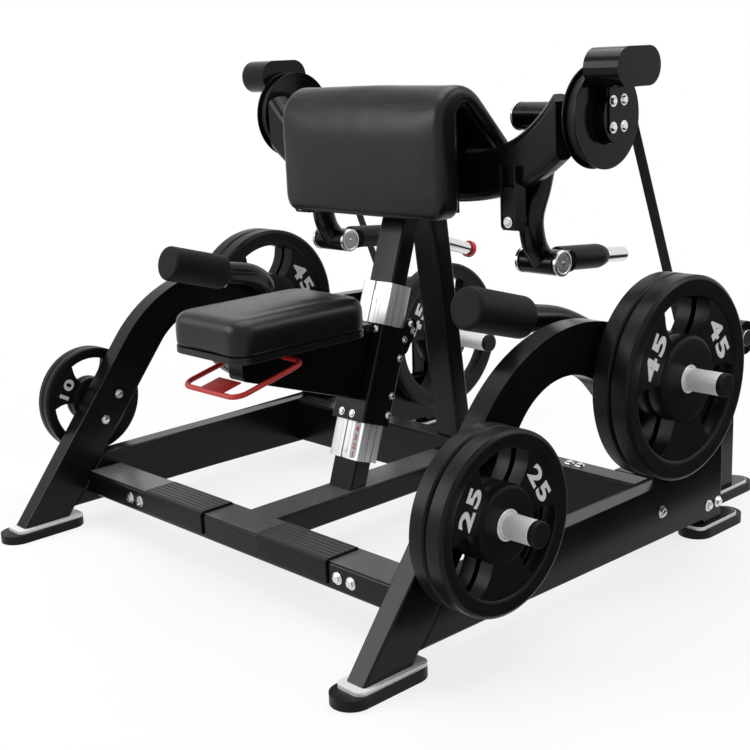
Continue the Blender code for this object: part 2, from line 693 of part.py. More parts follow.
# Centre frame
def make_posts():
    """The leaning seat post and the rear upright that carry the crossbar."""
    half = POST_WIDTH / 2
    low, high = CROSS_TOP - TUBE_EDGE / 4 + GAP, CROSSBAR_Z - CROSSBAR_HEIGHT / 2 - GAP
    front = SLIDE_WALL + GAP
    back = front + SEAT_POST_DEPTH
    outline = [(post_y(front, low), low), (post_y(back, low), low),
               (post_y(back, high), high), (post_y(front, high), high)]
    add_object("seat_post", slab(outline, "yz", -half, half, TUBE_EDGE), COATED)
    low = RAIL_TOP + GAP
    outline = [(upright_y(low), low), (upright_y(low, UPRIGHT_DEPTH), low),
               (upright_y(UPRIGHT_TOP, UPRIGHT_DEPTH), UPRIGHT_TOP),
               (upright_y(UPRIGHT_TOP), UPRIGHT_TOP)]
    add_object("rear_upright", slab(outline, "yz", -half, half, TUBE_EDGE), COATED)


def crossbar_shape(pieces=16):
    half_y = CROSSBAR_DEPTH / 2
    half_z = CROSSBAR_HEIGHT / 2
    xs = [CROSSBAR_HALF * (2 * k / pieces - 1) for k in range(pieces + 1)]
    route = [Vector((x, CROSSBAR_Y, crossbar_z(x))) for x in xs]
    section = rectangle((-half_y, -half_z), (half_y, half_z), CROSSBAR_EDGE, 2)
    return swept(route, section, AXIS_Y)


def make_crossbar():
    """The curved crossbar, with the brackets of the arm pad and the arms' rest stops."""
    crossbar = add_object("shoulder_crossbar", crossbar_shape(), COATED)
    reach = CROSSBAR_HEIGHT
    ends = beam((CROSSBAR_HALF, CROSSBAR_Y - reach, CROSSBAR_Z),
                (CROSSBAR_HALF + reach, CROSSBAR_Y + reach, DRUM_Z + DRUM_RADIUS), "z", edge=0.0)
    boolean(crossbar, "DIFFERENCE", both_sides(ends), "ends")
    front = PAD_FRONT + PAD_THICKNESS + PAD_BOARD_THICKNESS + 2 * GAP
    slope = PAD_SLOPE_THICKNESS + PAD_BOARD_THICKNESS + 2 * GAP
    apex = line_meet((front, 0), math.pi / 2, pad_slope_start(slope), -PAD_SLOPE)
    low = CROSSBAR_Z - CROSSBAR_HEIGHT / 4
    tail = line_meet((CROSSBAR_Y, 0), math.pi / 2, pad_slope_start(slope), -PAD_SLOPE)
    outline = rounded([(front, low, 0, 0), (CROSSBAR_Y, low, 0, 0), (*tail, 0, 0),
                       (*apex, PAD_BOARD_RADIUS - PAD_BOARD_THICKNESS, 4)])
    half = BRACKET_THICKNESS / 2
    brackets = slab(outline, "yz", BRACKET_X - half, BRACKET_X + half)
    boolean(crossbar, "UNION", both_sides(brackets), "brackets")
    half = STOP_WIDTH / 2
    stops = beam((ARM_X - half, STOP_Y[0], STOP_BOTTOM), (ARM_X + half, STOP_Y[1],
                                                          crossbar_z(ARM_X)), "z", edge=0.003)
    boolean(crossbar, "UNION", both_sides(stops), "stops")
    height = STOP_BOTTOM + STOP_RADIUS + TUBE_EDGE
    start = STOP_Y[0] + STOP_RADIUS
    bumpers = rod((ARM_X, start, height), AXIS_Y, arm_front_y(height) - GAP - start, STOP_RADIUS,
                  steps=16)
    boolean(crossbar, "UNION", both_sides(bumpers), "bumpers")


def make_bearing_housing(name, side):
    """A bored housing behind the crossbar's end, on a saddle block."""
    shape = rod((HOUSING_START, *AXLE), AXIS_X, HOUSING_LENGTH, HOUSING_RADIUS)
    housing = add_object(name + "_bearing_housing", to_side(shape, side), COATED)
    face = CROSSBAR_Y + CROSSBAR_DEPTH / 2 + GAP
    middle = crossbar_z(HOUSING_START + HOUSING_LENGTH / 2)
    margin = 0.006
    saddle = beam((HOUSING_START + margin, face, middle - HOUSING_RADIUS * 0.6),
                  (HOUSING_START + HOUSING_LENGTH - margin, DRUM_Y, middle + HOUSING_RADIUS), "z",
                  edge=0.0)
    boolean(housing, "UNION", to_side(saddle, side), "saddle")
    bore = rod((HOUSING_START - margin, *AXLE), AXIS_X, HOUSING_LENGTH + 2 * margin,
               AXLE_RADIUS + RUNNING)
    boolean(housing, "DIFFERENCE", to_side(bore, side), "bore")


def handle_tube():
    """The tube that curves forward from the arch to carry the foam grip."""
    front, tilt = handle_axis()
    straight = front + tilt * (FOAM_LENGTH + HANDLE_RADIUS / 4)
    bends = [Vector((SIDE_X - inset, y, z)) for inset, y, z in HANDLE_ROUTE]
    curve = smooth_route([straight] + bends, 2)
    route = [front + tilt * FOAM_END] + curve
    return swept(route, oval((0, 0), (HANDLE_RADIUS, HANDLE_RADIUS), TUBE_SIDES), AXIS_X)


def handle_axis():
    """The front end of the foam grip and the direction of its straight run."""
    inset, y, z = HANDLE_FRONT
    return (Vector((SIDE_X - inset, y, z)),
            Vector((0, math.cos(HANDLE_TILT), -math.sin(HANDLE_TILT))))


def make_foam_handle(name, side):
    front, tilt = handle_axis()
    foam = rod(front, tilt, FOAM_LENGTH, FOAM_RADIUS, 0.006)
    foam = add_object(name + "_foam_handle", to_side(foam, side), FOAM)
    core = rod(front + tilt * (FOAM_END - GAP), tilt, FOAM_LENGTH, HANDLE_RADIUS + 2 * GAP)
    boolean(foam, "DIFFERENCE", to_side(core, side), "core")


def arm_front_y(z):
    """Y of the hanging arm tube's front face at a height."""
    route = arm_route()
    middle = min(route, key=lambda point: abs(point.z - z))
    return middle.y - ARM_RADIUS


def make_peg():
    """The chrome peg on the rear upright, with a red end ring."""
    direction = Vector((0, math.cos(PEG_DROOP), -math.sin(PEG_DROOP)))
    face = Vector((0, upright_y(PEG_Z, UPRIGHT_DEPTH), PEG_Z))
    inside = 0.02
    length = PEG_LENGTH + inside
    cap = length - PEG_CAP_LENGTH
    peg = turned([(0, 0), (0, PEG_RADIUS), (cap, PEG_RADIUS), (cap, PEG_CAP_RADIUS - 0.002),
                  (cap + 0.002, PEG_CAP_RADIUS), (length - 0.002, PEG_CAP_RADIUS),
                  (length, PEG_CAP_RADIUS - 0.002), (length, 0)], face - direction * inside,
                 direction)
    peg = add_object("band_peg", peg, CHROME)
    low, high = PEG_Z - 0.05, PEG_Z + 0.05
    depth = UPRIGHT_DEPTH + GAP
    trim = slab([(upright_y(low), low), (upright_y(low, depth), low),
                 (upright_y(high, depth), high), (upright_y(high), high)], "yz",
                -POST_WIDTH / 2, POST_WIDTH / 2)
    boolean(peg, "DIFFERENCE", trim, "trim")


# Seat slide and seat
def make_slide():
    """Aluminium profile around the seat post, with a shallow slot down each face."""
    half = SLIDE_WIDTH / 2
    profile = add_object("slide_profile", post_block(SLIDE_REACH, (0, SLIDE_DEPTH), half),
                         ALUMINIUM)
    margin = 0.01
    longer = (SLIDE_REACH[0] - margin, SLIDE_REACH[1] + margin)
    core = post_block(longer, (SLIDE_WALL, SLIDE_DEPTH - SLIDE_WALL), POST_WIDTH / 2 + GAP)
    boolean(profile, "DIFFERENCE", core, "core")
    slots = post_block(longer, (-margin, SLOT_DEPTH), SLOT_WIDTH / 2)
    boolean(profile, "DIFFERENCE", slots, "front_slot")
    middle = SLIDE_DEPTH / 2
    sides = post_block(longer, (middle - SLOT_WIDTH / 2, middle + SLOT_WIDTH / 2), half + margin)
    inner = post_block((longer[0] - margin, longer[1] + margin), (0, SLIDE_DEPTH),
                       half - SLOT_DEPTH)
    sides = boolean(profile, "DIFFERENCE", sides, "side_slots")
    boolean(sides, "DIFFERENCE", inner, "core")


def make_carriage():
    """The sleeve that rides on the slide."""
    back = (-CARRIAGE_WALL, SLIDE_DEPTH + CARRIAGE_WALL)
    half = SLIDE_WIDTH / 2 + CARRIAGE_SIDE
    carriage = add_object("seat_carriage", post_block(CARRIAGE_REACH, back, half), COATED, "seat")
    margin = 0.01
    longer = (CARRIAGE_REACH[0] - margin, CARRIAGE_REACH[1] + margin)
    core = post_block(longer, (-GAP, SLIDE_DEPTH + GAP), SLIDE_WIDTH / 2 + GAP)
    boolean(carriage, "DIFFERENCE", core, "core", "seat")


def make_seat_arm():
    """The deep tapered arm under the seat, bored for the release loop's axle."""
    front_y, front_z = SEAT_ARM_FRONT
    back = -CARRIAGE_WALL - GAP
    outline = rounded([(front_y, front_z, 0.006, 2),
                       (post_y(back, SEAT_ARM_BACK_Z), SEAT_ARM_BACK_Z, 0, 0),
                       (post_y(back, SEAT_ARM_TOP), SEAT_ARM_TOP, 0, 0),
                       (front_y, SEAT_ARM_TOP, 0.006, 2)])
    half = SEAT_ARM_WIDTH / 2
    arm = add_object("seat_arm", slab(outline, "yz", -half, half, 0.004), COATED, "seat")
    bore = rod((-SEAT_ARM_WIDTH, *LOOP_AXLE), AXIS_X, 2 * SEAT_ARM_WIDTH, LOOP_ROD + RUNNING,
               steps=12)
    boolean(arm, "DIFFERENCE", bore, "axle_bore", "seat")


def seat_outline(margin):
    half = SEAT_WIDTH / 2 - margin
    return rectangle((-half, SEAT_FRONT + margin), (half, SEAT_FRONT + SEAT_LENGTH - margin),
                     SEAT_CORNER - margin, 5)


def make_seat():
    """The seat board and its crowned cushion, whose sides pull in between the corners."""
    board = slab(seat_outline(SEAT_BOARD_MARGIN), "xy", SEAT_BOARD_Z,
                 SEAT_BOARD_Z + SEAT_BOARD_THICKNESS)
    add_object("seat_board", board, BOARD, "seat")
    half = Vector((SEAT_WIDTH / 2, SEAT_LENGTH / 2))
    middle = Vector((0, SEAT_FRONT + half.y))
    loops = []
    wall = [(0, 0.006), (0.12, 0.001), (0.6, 0), (0.8, 0.003), (0.92, 0.010),
            (0.985, 0.022)]               # height as a share of the side's, and inset
    rim_height = SEAT_THICKNESS - SEAT_CROWN
    outline = seat_outline(0)
    extra = subdivided(outline, 0.05)
    shape = bmesh.new()
    for share, inset in wall:
        loops.append([seat_point(point, inset, middle, half, CUSHION_Z + share * rim_height, shape)
                      for point in extra])
    last_inset = wall[-1][1]
    for scale in (0.82, 0.45):
        height = CUSHION_Z + rim_height + SEAT_CROWN * (1 - scale ** 2)
        loops.append([seat_point(middle + (Vector(point) - middle) * scale, last_inset * scale,
                                 middle, half, height, shape) for point in extra])
    shape.faces.new(loops[0])
    for first, second in zip(loops, loops[1:]):
        for k in range(len(first)):
            after = (k + 1) % len(first)
            shape.faces.new((first[k], first[after], second[after], second[k]))
    peak = shape.verts.new((middle.x, middle.y, CUSHION_Z + SEAT_THICKNESS))
    for k, vert in enumerate(loops[-1]):
        shape.faces.new((vert, loops[-1][(k + 1) % len(extra)], peak))
    add_object("seat_cushion", shape, VINYL, "seat")


def subdivided(outline, longest):
    """The outline with points added along its long straight runs."""
    result = []
    for index, start in enumerate(outline):
        stop = Vector(outline[(index + 1) % len(outline)])
        span = stop - Vector(start)
        pieces = max(1, math.ceil(span.length / longest))
        result += [tuple(Vector(start) + span * k / pieces) for k in range(pieces)]
    return result


def seat_point(point, inset, middle, half, height, shape):
    """A cushion point: moved in by its inset, and drawn in more at the middle of a side."""
    offset = Vector(point) - middle
    share = Vector((offset.x / half.x, offset.y / half.y))
    pull = Vector((1 - share.y ** 2, 1 - share.x ** 2)) * SEAT_DRAW
    scale = [1 - (inset + pull[k] * min(1, abs(share[k]))) / half[k] for k in range(2)]
    place = middle + Vector((offset.x * scale[0], offset.y * scale[1]))
    return shape.verts.new((place.x, place.y, height))


def make_release_loop():
    """The red rod loop that unlocks the carriage, with a paddle at its front."""
    axle_y, axle_z = LOOP_AXLE
    front_y, front_z = LOOP_FRONT
    bends = [(SEAT_ARM_WIDTH / 4, axle_y, axle_z), (LOOP_HALF, axle_y, axle_z),
             (LOOP_HALF, front_y, front_z)]
    bends += [(-x, y, z) for x, y, z in reversed(bends)]
    route = bent_route([Vector(point) for point in bends], LOOP_BEND, 4)
    loop = bmesh.new()
    tube_along(route, LOOP_ROD, 10, loop)
    loop = add_object("release_loop", loop, RED, "release")
    rise = math.atan2(axle_z - front_z, axle_y - front_y)
    along = Vector((0, math.cos(rise), math.sin(rise)))
    corner = Vector((0, front_y, front_z))
    up = Vector((0, -math.sin(rise), math.cos(rise))) * PADDLE_THICKNESS / 2
    tip = corner + along * PADDLE_LENGTH
    outline = [(point.y, point.z) for point in (corner - up, tip - up, tip + up, corner + up)]
    boolean(loop, "UNION", slab(outline, "yz", -PADDLE_HALF, PADDLE_HALF), "paddle", "release")


def bent_route(points, radius, pieces):
    """A route with an arc of the given radius at each inner corner."""
    route = [points[0]]
    for before, here, after in zip(points, points[1:], points[2:]):
        back = (before - here).normalized()
        ahead = (after - here).normalized()
        half = back.angle(ahead) / 2
        reach = radius / math.tan(half)
        centre = here + (back + ahead).normalized() * (radius / math.sin(half))
        start = here + back * reach - centre
        stop = here + ahead * reach - centre
        for k in range(pieces + 1):
            turn = start.normalized().slerp(stop.normalized(), k / pieces)
            route.append(centre + turn * start.length)
    return route + [points[-1]]


def tube_along(route, radius, sides, shape):
    """A round tube whose rings carry on from one another without a twist."""
    across = None
    loops = []
    last = len(route) - 1
    for index, here in enumerate(route):
        ahead = (route[min(index + 1, last)] - here).normalized() if index < last else Vector()
        behind = (here - route[max(index - 1, 0)]).normalized() if index else Vector()
        tangent = (ahead + behind).normalized()
        across = AXIS_Z if across is None else across
        across = (across - tangent * across.dot(tangent)).normalized()
        other = tangent.cross(across)
        angles = [2 * math.pi * k / sides for k in range(sides)]
        loops.append([shape.verts.new(here + (across * math.cos(a) + other * math.sin(a)) * radius)
                      for a in angles])
    shape.faces.new(loops[0])
    shape.faces.new(list(reversed(loops[-1])))
    for first, second in zip(loops, loops[1:]):
        for k in range(sides):
            after = (k + 1) % sides
            shape.faces.new((first[k], second[k], second[after], first[after]))


# Arm pad
def pad_slope_start(depth):
    """A point that lies the given depth under the slope's outer face."""
    return (PAD_SLOPE_POINT[0] - depth * math.sin(PAD_SLOPE),
            PAD_SLOPE_POINT[1] - depth * math.cos(PAD_SLOPE))


def pad_corners(front_depth, slope_depth, margin):
    """Bottom, crest and tail of a line that runs along the pad at the given depths."""
    front = PAD_FRONT + front_depth
    slope = pad_slope_start(slope_depth)
    crest = line_meet((front, 0), math.pi / 2, slope, -PAD_SLOPE)
    outer_tail = line_meet((PAD_TAIL_Y, 0), math.pi / 2, pad_slope_start(0), -PAD_SLOPE)
    square = math.pi / 2 - PAD_SLOPE
    tail = line_meet(outer_tail, square, slope, -PAD_SLOPE)
    tail -= Vector((math.cos(PAD_SLOPE), -math.sin(PAD_SLOPE))) * margin
    return (front, PAD_BOTTOM + margin), tuple(crest), tuple(tail)


def make_pad_board():
    outer = pad_corners(PAD_THICKNESS + GAP, PAD_SLOPE_THICKNESS + GAP, PAD_BOARD_MARGIN)
    inner = pad_corners(PAD_THICKNESS + PAD_BOARD_THICKNESS + GAP,
                        PAD_SLOPE_THICKNESS + PAD_BOARD_THICKNESS + GAP, PAD_BOARD_MARGIN)
    outline = rounded([(*outer[0], 0, 0), (*outer[1], PAD_BOARD_RADIUS, 5), (*outer[2], 0, 0),
                       (*inner[2], 0, 0),
                       (*inner[1], PAD_BOARD_RADIUS - PAD_BOARD_THICKNESS, 5), (*inner[0], 0, 0)])
    half = PAD_HALF - PAD_BOARD_MARGIN
    add_object("pad_board", slab(outline, "yz", -half, half), BOARD)


def make_pad_cushion():
    """The bent cushion: crowned across, with round ends and drawn-in lower edges."""
    outer = pad_corners(0, 0, 0)
    inner = pad_corners(PAD_THICKNESS, PAD_SLOPE_THICKNESS, 0)
    small = PAD_EDGE / 4
    face = rounded([(*inner[0], small, 1), (*outer[0], PAD_CORNER, 4),
                    (*outer[1], PAD_CREST_RADIUS, 10), (*outer[2], PAD_CORNER, 4),
                    (*inner[2], small, 1), (*inner[1], PAD_BOARD_RADIUS, 5)])
    first_outer, last_outer = 2, 2 + 5 + 11 + 5
    stations = [PAD_HALF - PAD_EDGE + PAD_EDGE * math.sin(math.pi / 6 * k) for k in range(4)]
    middle = [stations[0] * k / 3 for k in range(-2, 3)]
    xs = [-x for x in reversed(stations)] + middle + stations
    shape = bmesh.new()
    loops = []
    for x in xs:
        past = max(0.0, abs(x) - (PAD_HALF - PAD_EDGE)) / PAD_EDGE
        inset = PAD_EDGE * (1 - math.sqrt(max(0.0, 1 - past ** 2)))
        bulge = 1 - (x / PAD_HALF) ** 2
        loop = []
        for index, point in enumerate(face):
            place = Vector(point)
            if first_outer <= index < last_outer:
                away = outline_normal(face, index)
                place += away * (PAD_CROWN * bulge - inset)
            low = max(0.0, 1 - (place.y - PAD_BOTTOM) / PAD_THICKNESS)
            place += Vector((0, PAD_DRAW * bulge * low))
            loop.append(shape.verts.new((x, place.x, place.y)))
        loops.append(loop)
    shape.faces.new(loops[0])
    shape.faces.new(list(reversed(loops[-1])))
    for first, second in zip(loops, loops[1:]):
        for k in range(len(face)):
            after = (k + 1) % len(face)
            shape.faces.new((first[k], second[k], second[after], first[after]))
    add_object("pad_cushion", shape, VINYL)


def outline_normal(outline, index):
    """The direction that points out of an outline whose points run clockwise."""
    before = Vector(outline[index - 1])
    after = Vector(outline[(index + 1) % len(outline)])
    along = (after - before).normalized()
    return Vector((-along.y, along.x))


# Horns and weight plates
def horn_profile(length, collar, collar_thickness):
    """A bar with a collar that starts at a distance along it."""
    stop = collar + collar_thickness
    return [(0, 0), (0, HORN_RADIUS), (collar, HORN_RADIUS), (collar, COLLAR_RADIUS),
            (stop, COLLAR_RADIUS), (stop, HORN_RADIUS), (length, HORN_RADIUS), (length, 0)]


def welded_profile(length, collar_thickness):
    """A bar whose collar lies against the tube that it is welded to."""
    return [(0, 0), (0, COLLAR_RADIUS), (collar_thickness, COLLAR_RADIUS),
            (collar_thickness, HORN_RADIUS), (length, HORN_RADIUS), (length, 0)]


def make_storage_horn(name, side):
    """A horn outside the front leg for spare plates."""
    start = OUTER_X + GAP
    horn = turned(welded_profile(OUTER_X + STORAGE_HORN_REACH - start, STORAGE_COLLAR),
                  (start, STORAGE_Y, STORAGE_HEIGHT), AXIS_X)
    add_object(name + "_storage_horn", to_side(horn, side), STEEL)


def make_rear_storage_horn(name, side):
    """A horn on the inner face of the pivot column."""
    horn = turned(welded_profile(REAR_HORN_LENGTH, REAR_COLLAR),
                  (COLUMN_X[0] - GAP, COLUMN_Y, REAR_STORAGE_Z), -AXIS_X)
    add_object(name + "_rear_storage_horn", to_side(horn, side), STEEL)


def weight_plate(size, x, place, into):
    """A rubber plate with a raised hub and rim and three windows; its near face is at x."""
    radius, thickness = size
    full = thickness / 2
    web = full - PLATE_WEB_DROP * thickness
    bevel = 0.12 * thickness
    rings = [(PLATE_BORE, full), (0.44 * radius, full), (0.48 * radius, web),
             (0.78 * radius, web), (0.84 * radius, full), (radius, full - bevel)]
    turns = [2 * math.pi * k / PLATE_STEPS for k in range(PLATE_STEPS)]
    faces = []
    for sign in (-1, 1):
        faces.append([[into.verts.new((x + full + sign * half, place[0] + reach * math.sin(a),
                                       place[1] + reach * math.cos(a))) for a in turns]
                      for reach, half in rings])
    windows = {(start + k) % PLATE_STEPS for start in WINDOW_STARTS for k in range(WINDOW_STEPS)}
    web_band = 2
    for k in range(PLATE_STEPS):
        after = (k + 1) % PLATE_STEPS
        for side in faces:
            for band in range(len(rings) - 1):
                if band == web_band and k in windows:
                    continue
                inner, outer = side[band], side[band + 1]
                into.faces.new((inner[k], outer[k], outer[after], inner[after]))
        walls = [0, len(rings) - 1] + ([web_band, web_band + 1] if k in windows else [])
        for ring in walls:
            near, far = faces[0][ring], faces[1][ring]
            into.faces.new((near[k], near[after], far[after], far[k]))
        if (k in windows) != ((k - 1) % PLATE_STEPS in windows):
            near, far = faces
            into.faces.new((near[web_band][k], near[web_band + 1][k],
                            far[web_band + 1][k], far[web_band][k]))


def make_plates(names, size, x, place, side, body):
    """A stack of plates on a horn, named from the inside out."""
    for index, name in enumerate(names):
        plate = bmesh.new()
        weight_plate(size, x + index * (size[1] + GAP), place, plate)
        add_object(name, to_side(plate, side), PLATE_RUBBER, body)


def make_stored_plates():
    place = (STORAGE_Y, STORAGE_HEIGHT)
    start = OUTER_X + GAP + STORAGE_COLLAR + GAP
    make_plates(("stored_plate_25_inner", "stored_plate_25_outer"), PLATE_25, start, place, 1,
                "right_storage")
    make_plates(("stored_plate_10_inner", "stored_plate_10_outer"), PLATE_10, start, place, -1,
                "left_storage")
    start = COLUMN_X[0] - 2 * GAP - REAR_COLLAR - PLATE_45[1]
    make_plates(("stored_plate_45",), PLATE_45, start, (COLUMN_Y, REAR_STORAGE_Z), -1,
                "rear_storage")


# Levers and belts
def make_lever(name, side):
    """Weight lever: a bar from its hub to the loading horn, and a crank down to the belt."""
    low, high = LEVER_X
    body = name + "_lever"
    bar = slab(tapered_bar(PIVOT, LEVER_HALF_DEPTH, LOAD, LEVER_HALF_DEPTH), "yz",
               LEVER_TUBE_X, high - GAP, 0.003)
    lever = add_object(name + "_weight_lever", to_side(bar, side), COATED, body)
    hub = rod((low, *PIVOT), AXIS_X, high - low, LEVER_HUB_RADIUS)
    boolean(lever, "UNION", to_side(hub, side), "hub", body)
    crank = slab(tapered_bar(PIVOT, LEVER_HUB_RADIUS - 0.001, ANCHOR, CRANK_END_RADIUS), "yz",
                 low, low + CRANK_THICKNESS)
    boolean(lever, "UNION", to_side(crank, side), "crank", body)
    reach = low + CRANK_THICKNESS / 2 - (BELT_X - BELT_WIDTH / 2 - 0.003)
    peg = rod((low + CRANK_THICKNESS / 2, *ANCHOR), -AXIS_X, reach, ANCHOR_RADIUS, steps=16)
    boolean(lever, "UNION", to_side(peg, side), "anchor_pin", body)
    bore = rod((low - 0.01, *PIVOT), AXIS_X, high - low + 0.02, PIVOT_RADIUS + RUNNING)
    boolean(lever, "DIFFERENCE", to_side(bore, side), "bore", body)


def make_loading_horn(name, side):
    body = name + "_lever"
    start = LEVER_X[1]
    end = OUTER_X + LOAD_HORN_REACH
    horn = turned(horn_profile(end - start, LOAD_COLLAR_X - start, COLLAR_THICKNESS),
                  (start, *LOAD), AXIS_X)
    add_object(name + "_loading_horn", to_side(horn, side), STEEL, body)
    make_plates((name + "_inner_load_plate", name + "_outer_load_plate"), PLATE_45,
                LOAD_COLLAR_X + COLLAR_THICKNESS + GAP, LOAD, side, name + "_plates")


def belt_line():
    """Middle line of a belt: around the drum, straight down, and around the anchor pin."""
    half = BELT_THICKNESS / 2 + GAP
    drum_step = BELT_WRAP / BELT_DRUM_STEPS
    pin_step = BELT_LOOP / BELT_LOOP_STEPS
    drum_radius = (GROOVE_RADIUS + half) / math.cos(drum_step / 2)
    pin_radius = (ANCHOR_RADIUS + half) / math.cos(pin_step / 2)
    drum, pin = Vector(AXLE), Vector(ANCHOR)
    span = pin - drum
    tangent = math.atan2(span.y, span.x) + math.acos((drum_radius - pin_radius) / span.length)
    turns = [(drum, drum_radius, tangent + BELT_WRAP - drum_step * k)
             for k in range(BELT_DRUM_STEPS + 1)]
    turns += [(pin, pin_radius, tangent - pin_step * k) for k in range(BELT_LOOP_STEPS + 1)]
    return [centre + Vector((math.cos(angle), math.sin(angle))) * radius
            for centre, radius, angle in turns]


def make_belt(name, side):
    """A flat belt of even thickness along its middle line."""
    line = belt_line()
    edges = ([], [])
    last = len(line) - 1
    for index, here in enumerate(line):
        along = (line[min(index + 1, last)] - line[max(index - 1, 0)]).normalized()
        away = Vector((-along.y, along.x)) * BELT_THICKNESS / 2
        edges[0].append(tuple(here + away))
        edges[1].append(tuple(here - away))
    outline = edges[0] + list(reversed(edges[1]))
    belt = slab(outline, "yz", BELT_X - BELT_WIDTH / 2, BELT_X + BELT_WIDTH / 2)
    add_object(name + "_belt", to_side(belt, side), WEBBING)


# Curl arms
def arm_route():
    return smooth_route([Vector((ARM_X, y, z)) for y, z in ARM_ROUTE], 2)


def make_arm(name, side):
    """Bent arm tube between the axle hub and the sleeve that holds the grip."""
    body = name + "_arm"
    section = oval((0, 0), (ARM_RADIUS, ARM_RADIUS), TUBE_SIDES)
    arm = add_object(name + "_arm_tube", to_side(swept(arm_route(), section, AXIS_X), side),
                     COATED, body)
    hub = rod((HUB_START, *AXLE), AXIS_X, HUB_LENGTH, HUB_RADIUS)
    boolean(arm, "UNION", to_side(hub, side), "hub", body)
    start = ARM_X - SLEEVE_LENGTH / 2
    sleeve = rod((start, *SLEEVE), AXIS_X, SLEEVE_LENGTH, SLEEVE_RADIUS)
    boolean(arm, "UNION", to_side(sleeve, side), "sleeve", body)
    bores = rod((HUB_START - 0.01, *AXLE), AXIS_X, HUB_LENGTH + 0.02, AXLE_RADIUS + GAP)
    rod((start - 0.01, *SLEEVE), AXIS_X, SLEEVE_LENGTH + 0.02, PIN_RADIUS + RUNNING, into=bores)
    boolean(arm, "DIFFERENCE", to_side(bores, side), "bores", body)


def make_axle(name, side):
    """Axle with an end ring, and the flanged drum that its belt winds on."""
    body = name + "_arm"
    start = HUB_START - GAP - END_RING_THICKNESS
    length = DRUM_START + DRUM_WIDTH - start
    axle = turned([(0, 0), (0, END_RING_RADIUS), (END_RING_THICKNESS, END_RING_RADIUS),
                   (END_RING_THICKNESS, AXLE_RADIUS), (length, AXLE_RADIUS), (length, 0)],
                  (start, *AXLE), AXIS_X)
    add_object(name + "_arm_shaft", to_side(axle, side), CHROME, body)
    bore = AXLE_RADIUS + GAP
    inner, outer = FLANGE_THICKNESS, DRUM_WIDTH - FLANGE_THICKNESS
    drum = turned([(0, bore), (0, DRUM_RADIUS), (inner, DRUM_RADIUS), (inner, GROOVE_RADIUS),
                   (outer, GROOVE_RADIUS), (outer, DRUM_RADIUS), (DRUM_WIDTH, DRUM_RADIUS),
                   (DRUM_WIDTH, bore)], (DRUM_START, *AXLE), AXIS_X, 24)
    add_object(name + "_drum", to_side(drum, side), COATED, body)


def make_counterweight(name, side):
    """Oval boss bolted to the drum, with a long round-ended weight above it."""
    body = name + "_arm"
    weight = slab(stadium(WEIGHT_CENTRE, WEIGHT_SIZE), "yz", BOSS_X, BOSS_X + WEIGHT_THICKNESS,
                  WEIGHT_EDGE)
    weight = add_object(name + "_counterweight", to_side(weight, side), COATED, body)
    boss = slab(oval(AXLE, BOSS_HALF), "yz", BOSS_X, BOSS_X + BOSS_THICKNESS)
    neck_low, neck_high = DRUM_Z + BOSS_HALF[1] * 0.5, WEIGHT_CENTRE[1]
    neck = beam((BOSS_X + GAP, DRUM_Y - NECK_HALF, neck_low),
                (BOSS_X + BOSS_THICKNESS - GAP, DRUM_Y + NECK_HALF, neck_high), "z", edge=0.0)
    boolean(weight, "UNION", to_side(neck, side), "neck", body)
    boolean(weight, "UNION", to_side(boss, side), "boss", body)


def make_grip(name, side):
    """Swivelling grip: a pin and lugs in the arm's sleeve, a core bar and a rubber sleeve."""
    body = name + "_grip"
    direction = Vector((0, math.cos(GRIP_DROOP), -math.sin(GRIP_DROOP)))
    start = Vector((ARM_X, SLEEVE_Y + YOKE_REACH - YOKE_THICKNESS / 2, SLEEVE_Z))
    plain = YOKE_THICKNESS + GRIP_LENGTH
    length = plain + TIP_LENGTH
    edge = 0.006
    core = turned([(0, 0), (0, GRIP_CORE_RADIUS), (plain, GRIP_CORE_RADIUS), (plain, TIP_RADIUS),
                   (length - edge, TIP_RADIUS), (length, TIP_RADIUS - edge), (length, 0)],
                  start, direction)
    bar = add_object(name + "_grip_bar", to_side(core, side), CHROME, body)
    inside = SLEEVE_LENGTH / 2 + GAP
    outside = inside + LUG_THICKNESS
    overlap = LUG_THICKNESS / 4
    yoke = beam((ARM_X - inside - overlap, SLEEVE_Y + YOKE_REACH - YOKE_THICKNESS,
                 SLEEVE_Z - LUG_HALF_HEIGHT + overlap),
                (ARM_X + inside + overlap, SLEEVE_Y + YOKE_REACH, SLEEVE_Z + LUG_HALF_HEIGHT - overlap),
                "x", edge=0.0)
    boolean(bar, "UNION", to_side(yoke, side), "yoke", body)
    lugs = bmesh.new()
    outline = tapered_bar(SLEEVE, LUG_HALF_HEIGHT, (SLEEVE_Y + YOKE_REACH - LUG_HALF_HEIGHT * 0.4,
                                                   SLEEVE_Z), LUG_HALF_HEIGHT * 0.999)
    slab(outline, "yz", ARM_X - outside, ARM_X - inside, into=lugs)
    slab(outline, "yz", ARM_X + inside, ARM_X + outside, into=lugs)
    boolean(bar, "UNION", to_side(lugs, side), "lugs", body)
    cap = CAP_THICKNESS + overlap
    reach = 2 * (outside + CAP_THICKNESS)
    pin = turned([(0, 0), (0, CAP_RADIUS), (cap, CAP_RADIUS), (cap, PIN_RADIUS),
                  (reach - cap, PIN_RADIUS), (reach - cap, CAP_RADIUS), (reach, CAP_RADIUS),
                  (reach, 0)], (ARM_X - reach / 2, *SLEEVE), AXIS_X)
    boolean(bar, "UNION", to_side(pin, side), "pin", body)
    bore = GRIP_CORE_RADIUS + GAP
    begin = YOKE_THICKNESS
    sleeve = turned([(0, bore), (0, GRIP_RADIUS), (0.85 * GRIP_LENGTH, GRIP_RADIUS),
                     (GRIP_LENGTH - begin, bore + 0.004), (GRIP_LENGTH - begin, bore)],
                    start + direction * begin, direction)
    add_object(name + "_grip_sleeve", to_side(sleeve, side), RUBBER, body)


